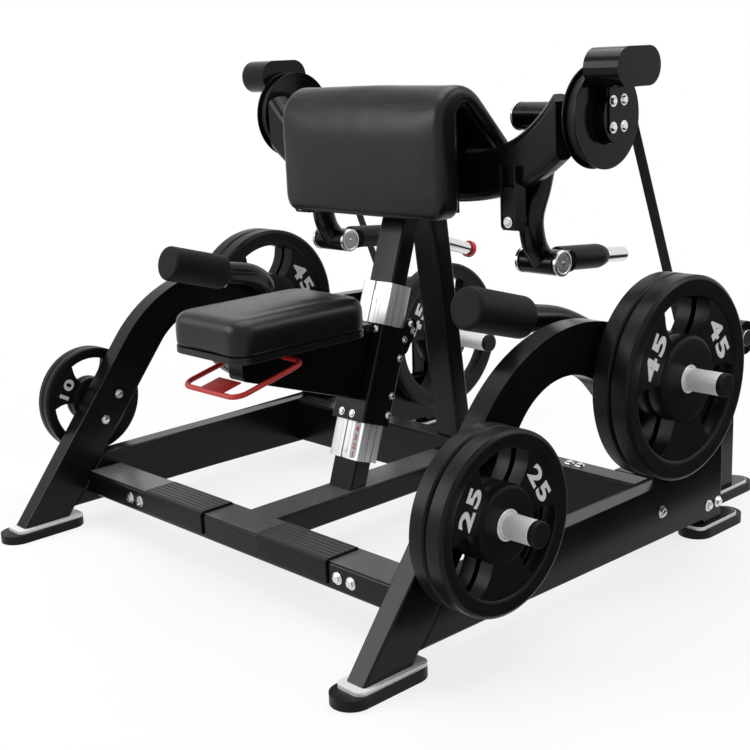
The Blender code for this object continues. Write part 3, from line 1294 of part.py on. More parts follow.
def build():
    clear_scene()
    add_body("machine", 0, 0, None)
    add_body("seat", *SLIDE_FRONT)
    add_body("release", *LOOP_AXLE, "seat")
    add_body("right_storage", STORAGE_Y, STORAGE_HEIGHT)
    add_body("left_storage", STORAGE_Y, STORAGE_HEIGHT)
    add_body("rear_storage", COLUMN_Y, REAR_STORAGE_Z)
    make_crossmembers()
    make_posts()
    make_crossbar()
    make_peg()
    make_slide()
    make_carriage()
    make_seat_arm()
    make_seat()
    make_release_loop()
    make_pad_board()
    make_pad_cushion()
    make_rear_storage_horn("left", -1)
    make_stored_plates()
    for name, side in (("right", 1), ("left", -1)):
        add_body(name + "_lever", *PIVOT)
        add_body(name + "_plates", *LOAD, name + "_lever")
        add_body(name + "_arm", *AXLE)
        add_body(name + "_grip", *SLEEVE, name + "_arm")
        make_arch(name, side)
        make_side_base(name, side)
        make_foot(name + "_front_foot", side, SIDE_X, FRONT_FOOT)
        make_foot(name + "_post_foot", side, SIDE_X, foot_span(POST_FOOT, POST_Y))
        make_foot(name + "_column_foot", side, BELT_X, foot_span(COLUMN_FOOT, COLUMN_Y))
        make_tread(name, side)
        make_foam_handle(name, side)
        make_bearing_housing(name, side)
        make_storage_horn(name, side)
        make_lever(name, side)
        make_loading_horn(name, side)
        make_belt(name, side)
        make_arm(name, side)
        make_axle(name, side)
        make_counterweight(name, side)
        make_grip(name, side)

build()
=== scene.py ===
# %% [markdown]
# # A plate-loaded arm-curl bench, dressed in Blender
# The CAD model gives the bodies, their joints and the plain solids.  This lesson puts a finely
# rounded piece over each solid, lets it ride on the solid's body, and gives it a finish that is
# worked out by shader nodes.  All lengths are metres.  Shapes are drawn in the workshop's own
# frame, with Y = 0 at the front edge of the front legs, and moved to the CAD frame at the end.

# %% Open the CAD frame
import math

import bmesh
import bpy
import numpy as np
from mathutils import Matrix, Vector


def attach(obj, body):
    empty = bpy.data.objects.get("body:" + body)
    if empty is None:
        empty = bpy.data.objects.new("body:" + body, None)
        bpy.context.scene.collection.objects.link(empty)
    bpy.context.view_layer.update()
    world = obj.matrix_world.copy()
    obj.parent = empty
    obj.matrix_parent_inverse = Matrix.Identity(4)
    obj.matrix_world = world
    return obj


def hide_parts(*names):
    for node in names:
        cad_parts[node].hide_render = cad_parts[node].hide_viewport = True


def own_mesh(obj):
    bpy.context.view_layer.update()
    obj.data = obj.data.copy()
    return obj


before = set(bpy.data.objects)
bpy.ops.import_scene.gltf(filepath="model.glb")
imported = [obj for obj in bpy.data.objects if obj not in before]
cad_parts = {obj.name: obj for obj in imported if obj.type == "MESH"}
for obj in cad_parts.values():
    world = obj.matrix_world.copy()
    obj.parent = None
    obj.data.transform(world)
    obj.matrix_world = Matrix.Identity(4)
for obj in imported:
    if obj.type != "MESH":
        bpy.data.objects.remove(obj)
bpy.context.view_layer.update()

# %% [markdown]
# The camera stands at the right front, a little above the pad.  It was fitted to the photograph's
# edges and outline, so it is written down as a place and three angles instead of being tried by
# eye.  A camera's own axes are right, up and backwards; those rows turned into columns are its pose.

# %% Camera
Y_MIDDLE = 0.7601015
AZIMUTH, ELEVATION, ROLL = (math.radians(angle) for angle in (47.387, 13.967, -2.577))
backward = Vector((math.sin(AZIMUTH) * math.cos(ELEVATION),
                   -math.cos(AZIMUTH) * math.cos(ELEVATION), math.sin(ELEVATION)))
level = Vector((0, 0, 1)).cross(backward).normalized()
rising = backward.cross(level)
right = level * math.cos(ROLL) + rising * math.sin(ROLL)
upward = rising * math.cos(ROLL) - level * math.sin(ROLL)
pose = Matrix((right, upward, backward)).transposed().to_4x4()
pose.translation = Vector((2.240, -1.406 - Y_MIDDLE, 1.140))
lens = bpy.data.cameras.new("photo_camera")
lens.lens = 62.15
lens.sensor_width = 36
lens.clip_end = 200
camera = bpy.data.objects.new("photo_camera", lens)
camera.matrix_world = pose
bpy.context.scene.collection.objects.link(camera)
bpy.context.scene.camera = camera
bpy.context.scene.view_settings.view_transform = "Standard"
print("camera at", [round(value, 3) for value in camera.location])

# %% [markdown]
# Shader arithmetic reads best as arithmetic.  A Wire holds one output socket; adding, subtracting
# or multiplying wires drops Math nodes into the same tree.  A Finish makes a material and has one
# method, node, for every other kind of node.

# %% Shader helpers
class Wire:
    """A number that varies over a surface."""

    def __init__(self, finish, socket):
        self.finish = finish
        self.socket = socket

    def _math(self, operation, *values):
        return self.finish.node("ShaderNodeMath", {"operation": operation},
                                dict(enumerate(values)))

    def __add__(self, other):
        return self._math("ADD", self, other)

    def __radd__(self, other):
        return self._math("ADD", other, self)

    def __sub__(self, other):
        return self._math("SUBTRACT", self, other)

    def __rsub__(self, other):
        return self._math("SUBTRACT", other, self)

    def __mul__(self, other):
        return self._math("MULTIPLY", self, other)

    def __rmul__(self, other):
        return self._math("MULTIPLY", other, self)


class Finish:
    """A procedural material, built node by node."""

    def __init__(self, name, slot, **fixed):
        self.material = bpy.data.materials.new(name)
        self.material.use_nodes = True
        self.tree = self.material.node_tree
        self.shader = self.tree.nodes["Principled BSDF"]
        self.slot = slot
        for socket, value in fixed.items():
            self.shader.inputs[socket.replace("_", " ")].default_value = value

    def node(self, kind, settings=None, inputs=None, output=0):
        made = self.tree.nodes.new(kind)
        for name, value in (settings or {}).items():
            if name == "stops":
                made.color_ramp.elements[0].position, made.color_ramp.elements[1].position = value
            else:
                setattr(made, name, value)
        for socket, value in (inputs or {}).items():
            if isinstance(value, Wire):
                self.tree.links.new(value.socket, made.inputs[socket])
            else:
                made.inputs[socket].default_value = value
        return Wire(self, made.outputs[output])

    def place(self, stretch=(1, 1, 1), turn=(0, 0, 0)):
        """Coordinates that ride with the piece, stretched along each axis."""
        where = self.node("ShaderNodeTexCoord", output="Object")
        return self.node("ShaderNodeMapping", {}, {"Vector": where, "Scale": stretch,
                                                   "Rotation": turn})

    def cloud(self, scale, detail=3.0, roughness=0.55, stretch=(1, 1, 1), turn=(0, 0, 0)):
        return self.node("ShaderNodeTexNoise", {}, {"Vector": self.place(stretch, turn),
                                                    "Scale": scale, "Detail": detail,
                                                    "Roughness": roughness})

    def pebbles(self, scale):
        return self.node("ShaderNodeTexVoronoi", {}, {"Vector": self.place(), "Scale": scale})

    def steps(self, value, low, high):
        """0 below low, 1 above high, smooth between them."""
        return self.node("ShaderNodeMapRange", {"interpolation_type": "SMOOTHSTEP"},
                         {"Value": value, "From Min": low, "From Max": high})

    def colours(self, mask, first, second):
        """A blend of two colours, each a triple or a Wire, by a mask."""
        first, second = (colour if isinstance(colour, Wire) else (*colour, 1)
                         for colour in (first, second))
        return self.node("ShaderNodeMix", {"data_type": "RGBA"},
                         {"Factor": mask, 6: first, 7: second}, output=2)

    def settled(self, low=0.90, high=0.995):
        """1 on faces that look straight up, where painted light makes level tops lighter."""
        facing = self.node("ShaderNodeNewGeometry", output=1)
        upward = self.node("ShaderNodeSeparateXYZ", {}, {0: facing}, output=2)
        return self.steps(upward, low, high) * (0.75 + self.cloud(55, 4.0, 0.7) * 0.5)

    def relief(self, height, distance, strength=1.0):
        """Bump that pushes the surface out by distance where height is 1."""
        return self.node("ShaderNodeBump", {}, {"Height": height, "Distance": distance,
                                                "Strength": strength})

    def feed(self, **wires):
        for socket, wire in wires.items():
            self.tree.links.new(wire.socket, self.shader.inputs[socket.replace("_", " ")])
        return self


# %% [markdown]
# The frame is sprayed with black powder and baked.  Powder never lies quite flat: it has a fine
# pebbled skin that sparkles along rounded edges.  Two sizes of noise give the pebbles, a third
# gives slow changes of gloss, and a thin scatter of pale specks stands for dust in the skin.
# Level faces get a lighter grey, painted light on the tops, low down most of all, so the low tubes get
# a coat with more of it.

# %% Powder coat
# Greys blended onto upward faces: painted light that makes the tops lighter than the lamps do.
TOP_LIGHT_GREY, RUBBER_TOP_LIGHT_GREY = (0.20, 0.20, 0.20), (0.16, 0.16, 0.16)


def powder(name, lighter_share):
    made = Finish(name, "coated", Metallic=0.0, IOR=1.27)
    pebble = made.cloud(1150, 2.0, 0.6)
    orange_peel = made.cloud(240, 3.0, 0.5)
    patches = made.cloud(7, 4.0, 0.6)
    specks = made.steps(made.cloud(620, 2.0, 0.7), 0.72, 0.80)
    skin = made.colours(specks * 0.5 + patches * 0.35, (0.0022, 0.0022, 0.0024),
                        (0.0085, 0.0085, 0.009))
    # The second argument sets how strongly the upward faces are painted lighter, as painted top light.
    return made.feed(Base_Color=made.colours(made.settled() * lighter_share, skin, TOP_LIGHT_GREY),
                     Roughness=0.13 + patches * 0.08 + pebble * 0.06,
                     Normal=made.relief(pebble * 0.6 + orange_peel * 0.7, 0.00022, 0.55))


# The second coat carries much more painted top light; it goes on the low front crossmember.
coat = powder("black_powder_coat", 0.10)
top_lit_coat = powder("black_powder_coat_dusty", 0.62)

# %% [markdown]
# Drums and counterweights carry a glossier enamel.  Its waves are longer and lower than the
# powder's, so that highlights break up only at their borders.

# %% Gloss enamel
enamel = Finish("black_gloss_enamel", "coated", Metallic=0.0, IOR=1.24)
waves = enamel.cloud(95, 3.0, 0.5)
smears = enamel.cloud(14, 4.0, 0.6, stretch=(1, 1, 2.5))
enamel.feed(Base_Color=enamel.colours(smears, (0.0015, 0.0015, 0.0016), (0.005, 0.005, 0.0053)),
            Roughness=0.10 + smears * 0.14,
            Normal=enamel.relief(waves, 0.00035, 0.5))

# %% [markdown]
# The cushions are covered with black vinyl.  Its grain is a net of tiny cells with creases
# between them, and body oil leaves parts a little glossier.

# %% Vinyl
vinyl = Finish("black_vinyl", "vinyl", Metallic=0.0, IOR=1.32)
cells = vinyl.pebbles(720)
creases = vinyl.cloud(310, 3.0, 0.6)
rubbed = vinyl.cloud(9, 3.0, 0.5)
grain = vinyl.steps(cells, 0.05, 0.55) * 0.7 + creases * 0.5
vinyl.feed(Base_Color=vinyl.colours(rubbed * 0.6 + cells * 0.3, (0.0025, 0.0025, 0.0026),
                                    (0.0075, 0.0075, 0.0078)),
           Roughness=0.21 + rubbed * 0.10 + cells * 0.05,
           Normal=vinyl.relief(grain, 0.00022, 0.5))

# %% [markdown]
# Rubber comes in five kinds here: the soft feet, the treads with painted light on their tops, the hard
# skin of the weight plates, the grip sleeves and the open foam of the front handles.  They differ in
# how coarse their skin is and in how much light it scatters, so one function makes them all.

# %% Rubber and foam
def rubber(name, slot, dark, light, gloss, skin, height, settled=0.0):
    made = Finish(name, slot, Metallic=0.0, IOR=1.22)
    fine = made.cloud(skin, 3.0, 0.65)
    coarse = made.cloud(skin / 9, 3.0, 0.5)
    lighter_share = made.cloud(11, 4.0, 0.6)
    colour = made.colours(lighter_share * 0.7 + fine * 0.3, dark, light)
    # Painted light: upward faces are blended towards a lighter grey.
    if settled:
        colour = made.colours(made.settled() * settled, colour, RUBBER_TOP_LIGHT_GREY)
    return made.feed(Base_Color=colour,
                     Roughness=gloss + lighter_share * 0.14,
                     Normal=made.relief(fine * 0.7 + coarse * 0.5, height, 0.6))


soft_rubber = rubber("soft_rubber", "rubber", (0.004, 0.004, 0.004), (0.011, 0.011, 0.0115),
                     0.34, 900, 0.00030)
plate_rubber = rubber("plate_rubber", "plate", (0.004, 0.004, 0.0042), (0.010, 0.010, 0.0105),
                      0.24, 700, 0.00022)
# The treads carry painted top light on their upward faces.
tread_rubber = rubber("tread_rubber", "rubber", (0.004, 0.004, 0.004), (0.011, 0.011, 0.0115),
                      0.34, 900, 0.00030, 0.38)
sleeve_rubber = rubber("sleeve_rubber", "rubber", (0.003, 0.003, 0.003), (0.008, 0.008, 0.008),
                       0.36, 1100, 0.00030)
foam = rubber("foam_skin", "foam", (0.0025, 0.0025, 0.0025), (0.007, 0.007, 0.007),
              0.50, 520, 0.00060)
rubbers = (soft_rubber, plate_rubber, tread_rubber, sleeve_rubber, foam)
print("rubbers:", [kind.material.name for kind in rubbers])


# %% [markdown]
# Bare metal shows how it was worked.  A lathe leaves rings around the horns, an extrusion die
# leaves lines along the slide, and chrome is polished until only faint ripples stay.  Noise that
# is squeezed along one axis draws such lines.

# %% Metals
def metal(name, slot, tint, gloss, scale, stretch, height, turn=(0, 0, 0), metallic=1.0):
    made = Finish(name, slot, Metallic=metallic)
    lines = made.cloud(scale, 3.0, 0.6, stretch, turn)
    wear = made.cloud(26, 4.0, 0.6)
    shade = tuple(0.80 * value for value in tint)
    return made.feed(Base_Color=made.colours(lines * 0.6 + wear * 0.3, tint, shade),
                     Roughness=gloss + wear * 0.10 + lines * 0.10,
                     Normal=made.relief(lines, height, 0.5))


POST_LEAN = math.radians(19)      # the slide's die lines follow the leaning post
turned_steel = metal("turned_steel", "steel", (0.93, 0.93, 0.92), 0.26, 60, (18, 0.6, 0.6), 0.00008,
                     metallic=0.35)
sole_steel = metal("sole_steel", "steel", (0.90, 0.90, 0.90), 0.30, 120, (1, 1, 1), 0.00010,
                   metallic=0.2)
chrome = metal("chrome", "chrome", (0.78, 0.78, 0.79), 0.05, 40, (1, 1, 1), 0.00005)
pitted_chrome = metal("pitted_chrome", "chrome", (0.66, 0.66, 0.67), 0.12, 420, (1, 1, 1), 0.00040)
aluminium = metal("drawn_aluminium", "aluminium", (0.60, 0.61, 0.62), 0.30, 110, (6, 6, 0.15),
                  0.00006, (POST_LEAN, 0, 0))

# %% [markdown]
# A few small finishes are left: the red coat of the release loop, the woven drive belts, the
# board under the pads, the pale moulded numerals and the printed scale.  Two crossed waves make
# a weave; the higher thread at each point is the one that shows.

# %% Small finishes
red = Finish("red_coat", "red", Metallic=0.0, IOR=1.45)
red_skin = red.cloud(420, 3.0, 0.6)
red.feed(Base_Color=red.colours(red.cloud(30, 4.0, 0.6), (0.56, 0.026, 0.022), (0.38, 0.014, 0.012)),
         Roughness=0.30 + red_skin * 0.2,
         Normal=red.relief(red_skin, 0.00030, 0.6))

webbing = Finish("belt_webbing", "webbing", Metallic=0.0, IOR=1.4)
across = webbing.node("ShaderNodeTexWave", {"bands_direction": "X"},
                      {"Vector": webbing.place(), "Scale": 150.0, "Distortion": 0.4})
along = webbing.node("ShaderNodeTexWave", {"bands_direction": "Z"},
                     {"Vector": webbing.place(), "Scale": 120.0, "Distortion": 0.4})
thread = across * along
webbing.feed(Base_Color=webbing.colours(thread, (0.004, 0.004, 0.004), (0.016, 0.016, 0.016)),
             Roughness=0.62 + thread * 0.2,
             Normal=webbing.relief(thread, 0.0005, 0.8))

board = Finish("stained_board", "board", Metallic=0.0, IOR=1.45)
fibres = board.cloud(40, 4.0, 0.7, stretch=(0.5, 9, 9))
board.feed(Base_Color=board.colours(fibres, (0.010, 0.0095, 0.009), (0.034, 0.032, 0.030)),
           Roughness=0.55 + fibres * 0.2,
           Normal=board.relief(fibres, 0.0004, 0.6))

numeral_white = Finish("numeral_white", "plate", Metallic=0.0, IOR=1.45)
mottle = numeral_white.cloud(160, 3.0, 0.7)
numeral_white.feed(Base_Color=numeral_white.colours(mottle, (0.72, 0.72, 0.71), (0.46, 0.46, 0.45)),
                   Roughness=0.42 + mottle * 0.2,
                   Normal=numeral_white.relief(mottle, 0.0002, 0.5))

label_grey = Finish("scale_label", "aluminium", Metallic=0.0, IOR=1.45)
haze = label_grey.cloud(90, 3.0, 0.6)
label_grey.feed(Base_Color=label_grey.colours(haze, (0.60, 0.61, 0.62), (0.50, 0.51, 0.52)),
                Roughness=0.34 + haze * 0.2)

# %% [markdown]
# Almost every piece is one of four kinds of shape: an outline pushed out into a slab, a profile
# turned about an axis, a section carried along a route, or a bolt.  The helpers work on a bmesh,
# which is Blender's mesh in edit form, and several shapes may share one bmesh.

# %% Outlines
AXIS_X, AXIS_Y, AXIS_Z = Vector((1, 0, 0)), Vector((0, 1, 0)), Vector((0, 0, 1))


def rounded(corners):
    """An outline from (u, v, radius) corners, each turned into an arc."""
    outline = []
    for index, (u, v, radius) in enumerate(corners):
        here = Vector((u, v))
        before = (Vector(corners[index - 1][:2]) - here).normalized()
        after = (Vector(corners[(index + 1) % len(corners)][:2]) - here).normalized()
        half = before.angle(after) / 2
        if radius <= 0 or half > 1.56:
            outline.append((u, v))
            continue
        centre = here + (before + after).normalized() * (radius / math.sin(half))
        start = here + before * (radius / math.tan(half)) - centre
        finish = here + after * (radius / math.tan(half)) - centre
        turn = -start.angle_signed(finish)
        steps = max(4, int(abs(turn) * (6 + 60 * radius)))
        for step in range(steps + 1):
            angle = turn * step / steps
            outline.append((centre.x + start.x * math.cos(angle) - start.y * math.sin(angle),
                            centre.y + start.x * math.sin(angle) + start.y * math.cos(angle)))
    return outline


def rectangle(low, high, radius):
    corners = ((low[0], low[1]), (high[0], low[1]), (high[0], high[1]), (low[0], high[1]))
    return rounded([(u, v, radius) for u, v in corners])


def stadium(centre, size):
    half = (size[0] / 2, size[1] / 2)
    return rectangle((centre[0] - half[0], centre[1] - half[1]),
                     (centre[0] + half[0], centre[1] + half[1]), min(half) - 0.0002)


def circle(centre, radius, steps=48, squeeze=1.0):
    turns = [2 * math.pi * k / steps for k in range(steps)]
    return [(centre[0] + radius * math.cos(a), centre[1] + radius * squeeze * math.sin(a))
            for a in turns]


def tapered_bar(first, first_radius, second, second_radius):
    """The outline around two circles and the straight sides that join them."""
    start, finish = Vector(first), Vector(second)
    heading = math.atan2(finish.y - start.y, finish.x - start.x)
    lean = math.acos((first_radius - second_radius) / (finish - start).length)
    outline = []
    for centre, radius, begin, end in ((start, first_radius, lean, 2 * math.pi - lean),
                                       (finish, second_radius, -lean, lean)):
        for k in range(25):
            angle = heading + begin + (end - begin) * k / 24
            outline.append((centre.x + radius * math.cos(angle), centre.y + radius * math.sin(angle)))
    return outline


def line_meet(start, angle, other, other_angle):
    """Where two lines cross, each given by a point and its slope angle."""
    heading = Vector((math.cos(angle), math.sin(angle)))
    crossing = Vector((math.cos(other_angle), math.sin(other_angle)))
    between = Vector(other) - Vector(start)
    reach = ((between.x * crossing.y - between.y * crossing.x)
             / (heading.x * crossing.y - heading.y * crossing.x))
    return Vector(start) + heading * reach


# %% Solids
ORDERS = {"yz": lambda u, v, w: (w, u, v), "xz": lambda u, v, w: (u, w, v),
          "xy": lambda u, v, w: (u, v, w)}


def slab(shape, outline, plane, low, high, edge=0.0, segments=3):
    """Push an outline from low to high and round its two rims by edge."""
    order = ORDERS[plane]
    near = [shape.verts.new(order(u, v, low)) for u, v in outline]
    far = [shape.verts.new(order(u, v, high)) for u, v in outline]
    caps = [shape.faces.new(near), shape.faces.new(list(reversed(far)))]
    for index, start in enumerate(near):
        after = (index + 1) % len(near)
        shape.faces.new((start, far[index], far[after], near[after]))
    if edge:
        rims = {rim for cap in caps for rim in cap.edges}
        bmesh.ops.bevel(shape, geom=list(rims), offset=edge, segments=segments, profile=0.5,
                        affect="EDGES", clamp_overlap=True)


def beam(shape, low, high, heading, edge=0.006):
    """A tube between two corners, with round long edges along X, Y or Z."""
    third = "xyz".index(heading)
    first, second = [k for k in range(3) if k != third]
    outline = rectangle((low[first], low[second]), (high[first], high[second]), edge)
    slab(shape, outline, {"x": "yz", "y": "xz", "z": "xy"}[heading], low[third], high[third])


def turned(shape, profile, start, direction, steps=64):
    """Turn (distance, radius) points about an axis; with no zero radius it is bored."""
    direction = Vector(direction).normalized()
    guide = AXIS_Y if abs(direction.y) < 0.9 else AXIS_X
    first_side = (guide - direction * guide.dot(direction)).normalized()
    other_side = direction.cross(first_side)
    rings = []
    for distance, radius in profile:
        centre = Vector(start) + direction * distance
        if radius == 0:
            rings.append([shape.verts.new(centre)])
            continue
        turns = [2 * math.pi * k / steps for k in range(steps)]
        rings.append([shape.verts.new(centre + (first_side * math.cos(a)
                                                + other_side * math.sin(a)) * radius)
                      for a in turns])
    bored = all(radius > 0 for _, radius in profile)
    for first, second in list(zip(rings, rings[1:])) + ([(rings[-1], rings[0])] if bored else []):
        for k in range(steps):
            after = (k + 1) % steps
            corners = dict.fromkeys([first[k % len(first)], first[after % len(first)],
                                     second[after % len(second)], second[k % len(second)]])
            if len(corners) > 2:
                shape.faces.new(list(corners))


def eased(profile, radius=0.0015, steps=3):
    """Round the inner corners of a turned profile by replacing each with a short arc."""
    soft = [profile[0]]
    for before, here, after in zip(profile, profile[1:], profile[2:]):
        corner = Vector(here)
        back, ahead = Vector(before) - corner, Vector(after) - corner
        reach = min(radius, back.length * 0.45, ahead.length * 0.45)
        start, finish = corner + back.normalized() * reach, corner + ahead.normalized() * reach
        for k in range(steps + 1):
            share = k / steps
            point = (start * (1 - share) ** 2 + corner * 2 * share * (1 - share)
                     + finish * share ** 2)
            soft.append((point.x, max(point.y, 0.0001)))
    return soft + [profile[-1]]


def rod(shape, start, direction, length, radius, ease=0.0015, steps=64):
    turned(shape, eased([(0, 0), (0, radius), (length, radius), (length, 0)], ease), start,
           direction, steps)


def tube(shape, start, direction, length, outer, inner, ease=0.0012):
    loop = [(0, (inner + outer) / 2), (0, outer), (length, outer), (length, inner), (0, inner),
            (0, (inner + outer) / 2)]
    turned(shape, eased(loop, ease)[1:-1], start, direction)


def carried(shape, route, section, guide):
    """Carry a closed section along a route; its points are (along guide, the other way)."""
    loops = []
    last = len(route) - 1
    for index, here in enumerate(route):
        tangent = (route[min(index + 1, last)] - route[max(index - 1, 0)]).normalized()
        side = (guide - tangent * guide.dot(tangent)).normalized()
        other = tangent.cross(side)
        loops.append([shape.verts.new(here + side * u + other * v) for u, v in section])
    shape.faces.new(loops[0])
    shape.faces.new(list(reversed(loops[-1])))
    for first, second in zip(loops, loops[1:]):
        for k in range(len(section)):
            after = (k + 1) % len(section)
            shape.faces.new((first[k], second[k], second[after], first[after]))


def smooth_route(points, pieces):
    """A Catmull-Rom curve through the points."""
    ends = [points[0] * 2 - points[1]] + list(points) + [points[-1] * 2 - points[-2]]
    route = []
    for before, start, stop, after in zip(ends, ends[1:], ends[2:], ends[3:]):
        for k in range(pieces):
            t = k / pieces
            route.append(0.5 * ((2 * start) + (stop - before) * t
                                + (2 * before - 5 * start + 4 * stop - after) * t * t
                                + (3 * start - before - 3 * stop + after) * t ** 3))
    return route + [points[-1].copy()]


# %% [markdown]
# A bolt is small but catches the light, so each one has a washer, a chamfered hexagon and a
# domed top.  All bolts of one body go into one piece.

# %% Bolts
def bolt(shape, place, direction, radius=0.0085, height=0.006):
    direction = Vector(direction).normalized()
    rod(shape, place, direction, 0.0016, radius * 1.45, 0.0005, 32)
    guide = AXIS_Z if abs(direction.z) < 0.9 else AXIS_X
    first_side = (guide - direction * guide.dot(direction)).normalized()
    other_side = direction.cross(first_side)
    rings = []
    for reach, share in ((0.0014, 1.0), (height * 0.85, 1.0), (height, 0.86), (height + 0.0004, 0.4)):
        centre = Vector(place) + direction * reach
        turns = [math.pi * k / 3 + place[1] * 40 for k in range(6)]
        rings.append([shape.verts.new(centre + (first_side * math.cos(a) + other_side * math.sin(a))
                                      * radius * share) for a in turns])
    for first, second in zip(rings, rings[1:]):
        for k in range(6):
            after = (k + 1) % 6
            shape.faces.new((first[k], second[k], second[after], first[after]))
    shape.faces.new(rings[-1])


# %% [markdown]
# Turning a shape into a piece means: move it to the CAD frame, flip it for the left side, shade
# it smooth but keep real corners, give it a finish, and say which body it rides on and which CAD
# solids it stands for.  Weighted normals keep the broad faces flat beside their rounded edges.

# %% From shape to piece
pieces_made = []


def piece(name, shape, finish, body="frame", nodes=(), side=1, sharp=40):
    if side < 0:
        for vert in shape.verts:
            vert.co.x = -vert.co.x
    bmesh.ops.translate(shape, vec=(0, -Y_MIDDLE, 0), verts=shape.verts)
    shape.normal_update()
    bmesh.ops.recalc_face_normals(shape, faces=shape.faces)
    mesh = bpy.data.meshes.new(name)
    shape.to_mesh(mesh)
    shape.free()
    mesh.shade_smooth()
    mesh.set_sharp_from_angle(angle=math.radians(sharp))
    mesh.materials.append(finish.material)
    made = bpy.data.objects.new(name, mesh)
    bpy.context.scene.collection.objects.link(made)
    flat_faces = made.modifiers.new("flat_faces", "WEIGHTED_NORMAL")
    flat_faces.keep_sharp = True
    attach(made, body)
    if nodes:
        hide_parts(*nodes)
    pieces_made.append(name)
    return made


def mirrored(shape):
    """Add the left-hand copy of a right-hand shape to it."""
    parts = list(shape.verts) + list(shape.edges) + list(shape.faces)
    for item in bmesh.ops.duplicate(shape, geom=parts)["geom"]:
        if isinstance(item, bmesh.types.BMVert):
            item.co.x = -item.co.x
    shape.normal_update()


# %% [markdown]
# ## The base
# Two side frames stand on long rubber feet.  A bright steel sole plate lies on each foot, a
# little shorter than the rubber, whose free end has a screw hole; the rear soles are coated on
# top.  A leg leans back from each front foot, bends over the top and runs down again as a strut.
# The arch is drawn once as an outline in the side view and pushed out to the width of the tube.

# %% Sizes of the base
OUTER_X, INNER_X, SIDE_X, BELT_X = 0.645, 0.595, 0.620, 0.513
LEG_ANGLE, LEG_DATUM = math.radians(51.5), 0.030
TUBE_FOOT, RAIL_BOTTOM, RAIL_TOP = 0.0254, 0.050, 0.170
STRUT_ANGLE = math.radians(47.5)
LEG_SPREAD = 0.100 / math.sin(LEG_ANGLE)
FEET = (("front_foot", SIDE_X, -0.050, 0.170), ("post_foot", SIDE_X, 1.055, 1.255),
        ("column_foot", BELT_X, 1.276, 1.476))
LOAD, STORAGE = Vector((0.872, 0.443)), (0.2723, 0.292)     # the horns' axes, in Y and Z
GAP = 0.0003                      # between pieces that touch
FOOT_WIDTH, SOLE_HALF, SOLE_FLOOR, SOLE_TOP = 0.084, 0.036, 0.0216, 0.0296
SIDES = (("right", 1), ("left", -1))


def leg_back_y(z):
    return LEG_SPREAD + (z - LEG_DATUM) / math.tan(LEG_ANGLE)


def strut_top(z):
    rise = 0.379 + 0.090 * math.cos(STRUT_ANGLE) - z
    run = 0.762 + 0.090 * math.sin(STRUT_ANGLE)
    return Vector((run + rise / math.tan(STRUT_ANGLE), z))


# %% Feet, soles and their bolts
for side_name, side in SIDES:
    for foot_name, x, front, back in FEET:
        centre = (x, (front + back) / 2)
        foot = bmesh.new()
        slab(foot, stadium(centre, (FOOT_WIDTH, back - front)), "xy", 0.0, 0.0214, 0.003)
        piece(f"{side_name}_{foot_name}_rubber", foot, soft_rubber,
              nodes=[f"{side_name}_{foot_name}"], side=side)
        toe = front + (0.030 if foot_name == "front_foot" else 0.008)
        heel = back - (0.008 if foot_name == "front_foot" else 0.030)
        lip = bmesh.new()
        slab(lip, rectangle((x - SOLE_HALF, toe), (x + SOLE_HALF, heel), 0.018), "xy",
             SOLE_FLOOR, SOLE_TOP, 0.0015)
        piece(f"{side_name}_{foot_name}_sole", lip, sole_steel, side=side)
        if foot_name != "front_foot":
            cover = bmesh.new()
            edge = 0.0015
            slab(cover, rectangle((x - SOLE_HALF + edge, toe + edge),
                                  (x + SOLE_HALF - edge, heel - edge), 0.0165),
                 "xy", SOLE_TOP - 0.0006, SOLE_TOP + GAP, 0.0004)
            piece(f"{side_name}_{foot_name}_cover", cover, coat, side=side)
        screws = bmesh.new()
        end = front + 0.016 if foot_name == "front_foot" else back - 0.016
        tube(screws, (x, end, 0.0212), AXIS_Z, 0.0010, 0.0070, 0.0045, 0.0004)
        piece(f"{side_name}_{foot_name}_hole", screws, coat, side=side, sharp=25)


# %% Arches with their handle tubes
def arch_outline():
    radius, shoulder_angle = 0.370, math.radians(30)
    centre_z = 0.593 - radius
    centre_y = (radius + (centre_z - LEG_DATUM) * math.cos(LEG_ANGLE)) / math.sin(LEG_ANGLE)
    shoulder = (centre_y + radius * math.sin(shoulder_angle),
                centre_z + radius * math.cos(shoulder_angle))
    nose_line = ((0.838, 0), math.pi / 2)
    apex = line_meet((0, LEG_DATUM), LEG_ANGLE, shoulder, -shoulder_angle)
    nose = line_meet(shoulder, -shoulder_angle, *nose_line)
    under_nose = line_meet(strut_top(0), -STRUT_ANGLE, *nose_line)
    crook = line_meet((LEG_SPREAD, LEG_DATUM), LEG_ANGLE, (0.762, 0.379), -STRUT_ANGLE)
    seat_z = RAIL_TOP + GAP
    strut_low = line_meet((0.762, 0.379), -STRUT_ANGLE, (0, seat_z), 0)
    foot = leg_back_y(TUBE_FOOT)
    return rounded([(foot - LEG_SPREAD, TUBE_FOOT, 0), (*apex, radius), (*nose, 0.020),
                    (*under_nose, 0), (*strut_top(seat_z), 0), (*strut_low, 0), (*crook, 0.176),
                    (foot, TUBE_FOOT, 0)])


FOAM_START = Vector((0.5175, 0.429, 0.644))
FOAM_LENGTH, FOAM_RADIUS, HANDLE_RADIUS = 0.175, 0.045, 0.030
FOAM_AXIS = Vector((0, math.cos(math.radians(16)), -math.sin(math.radians(16))))

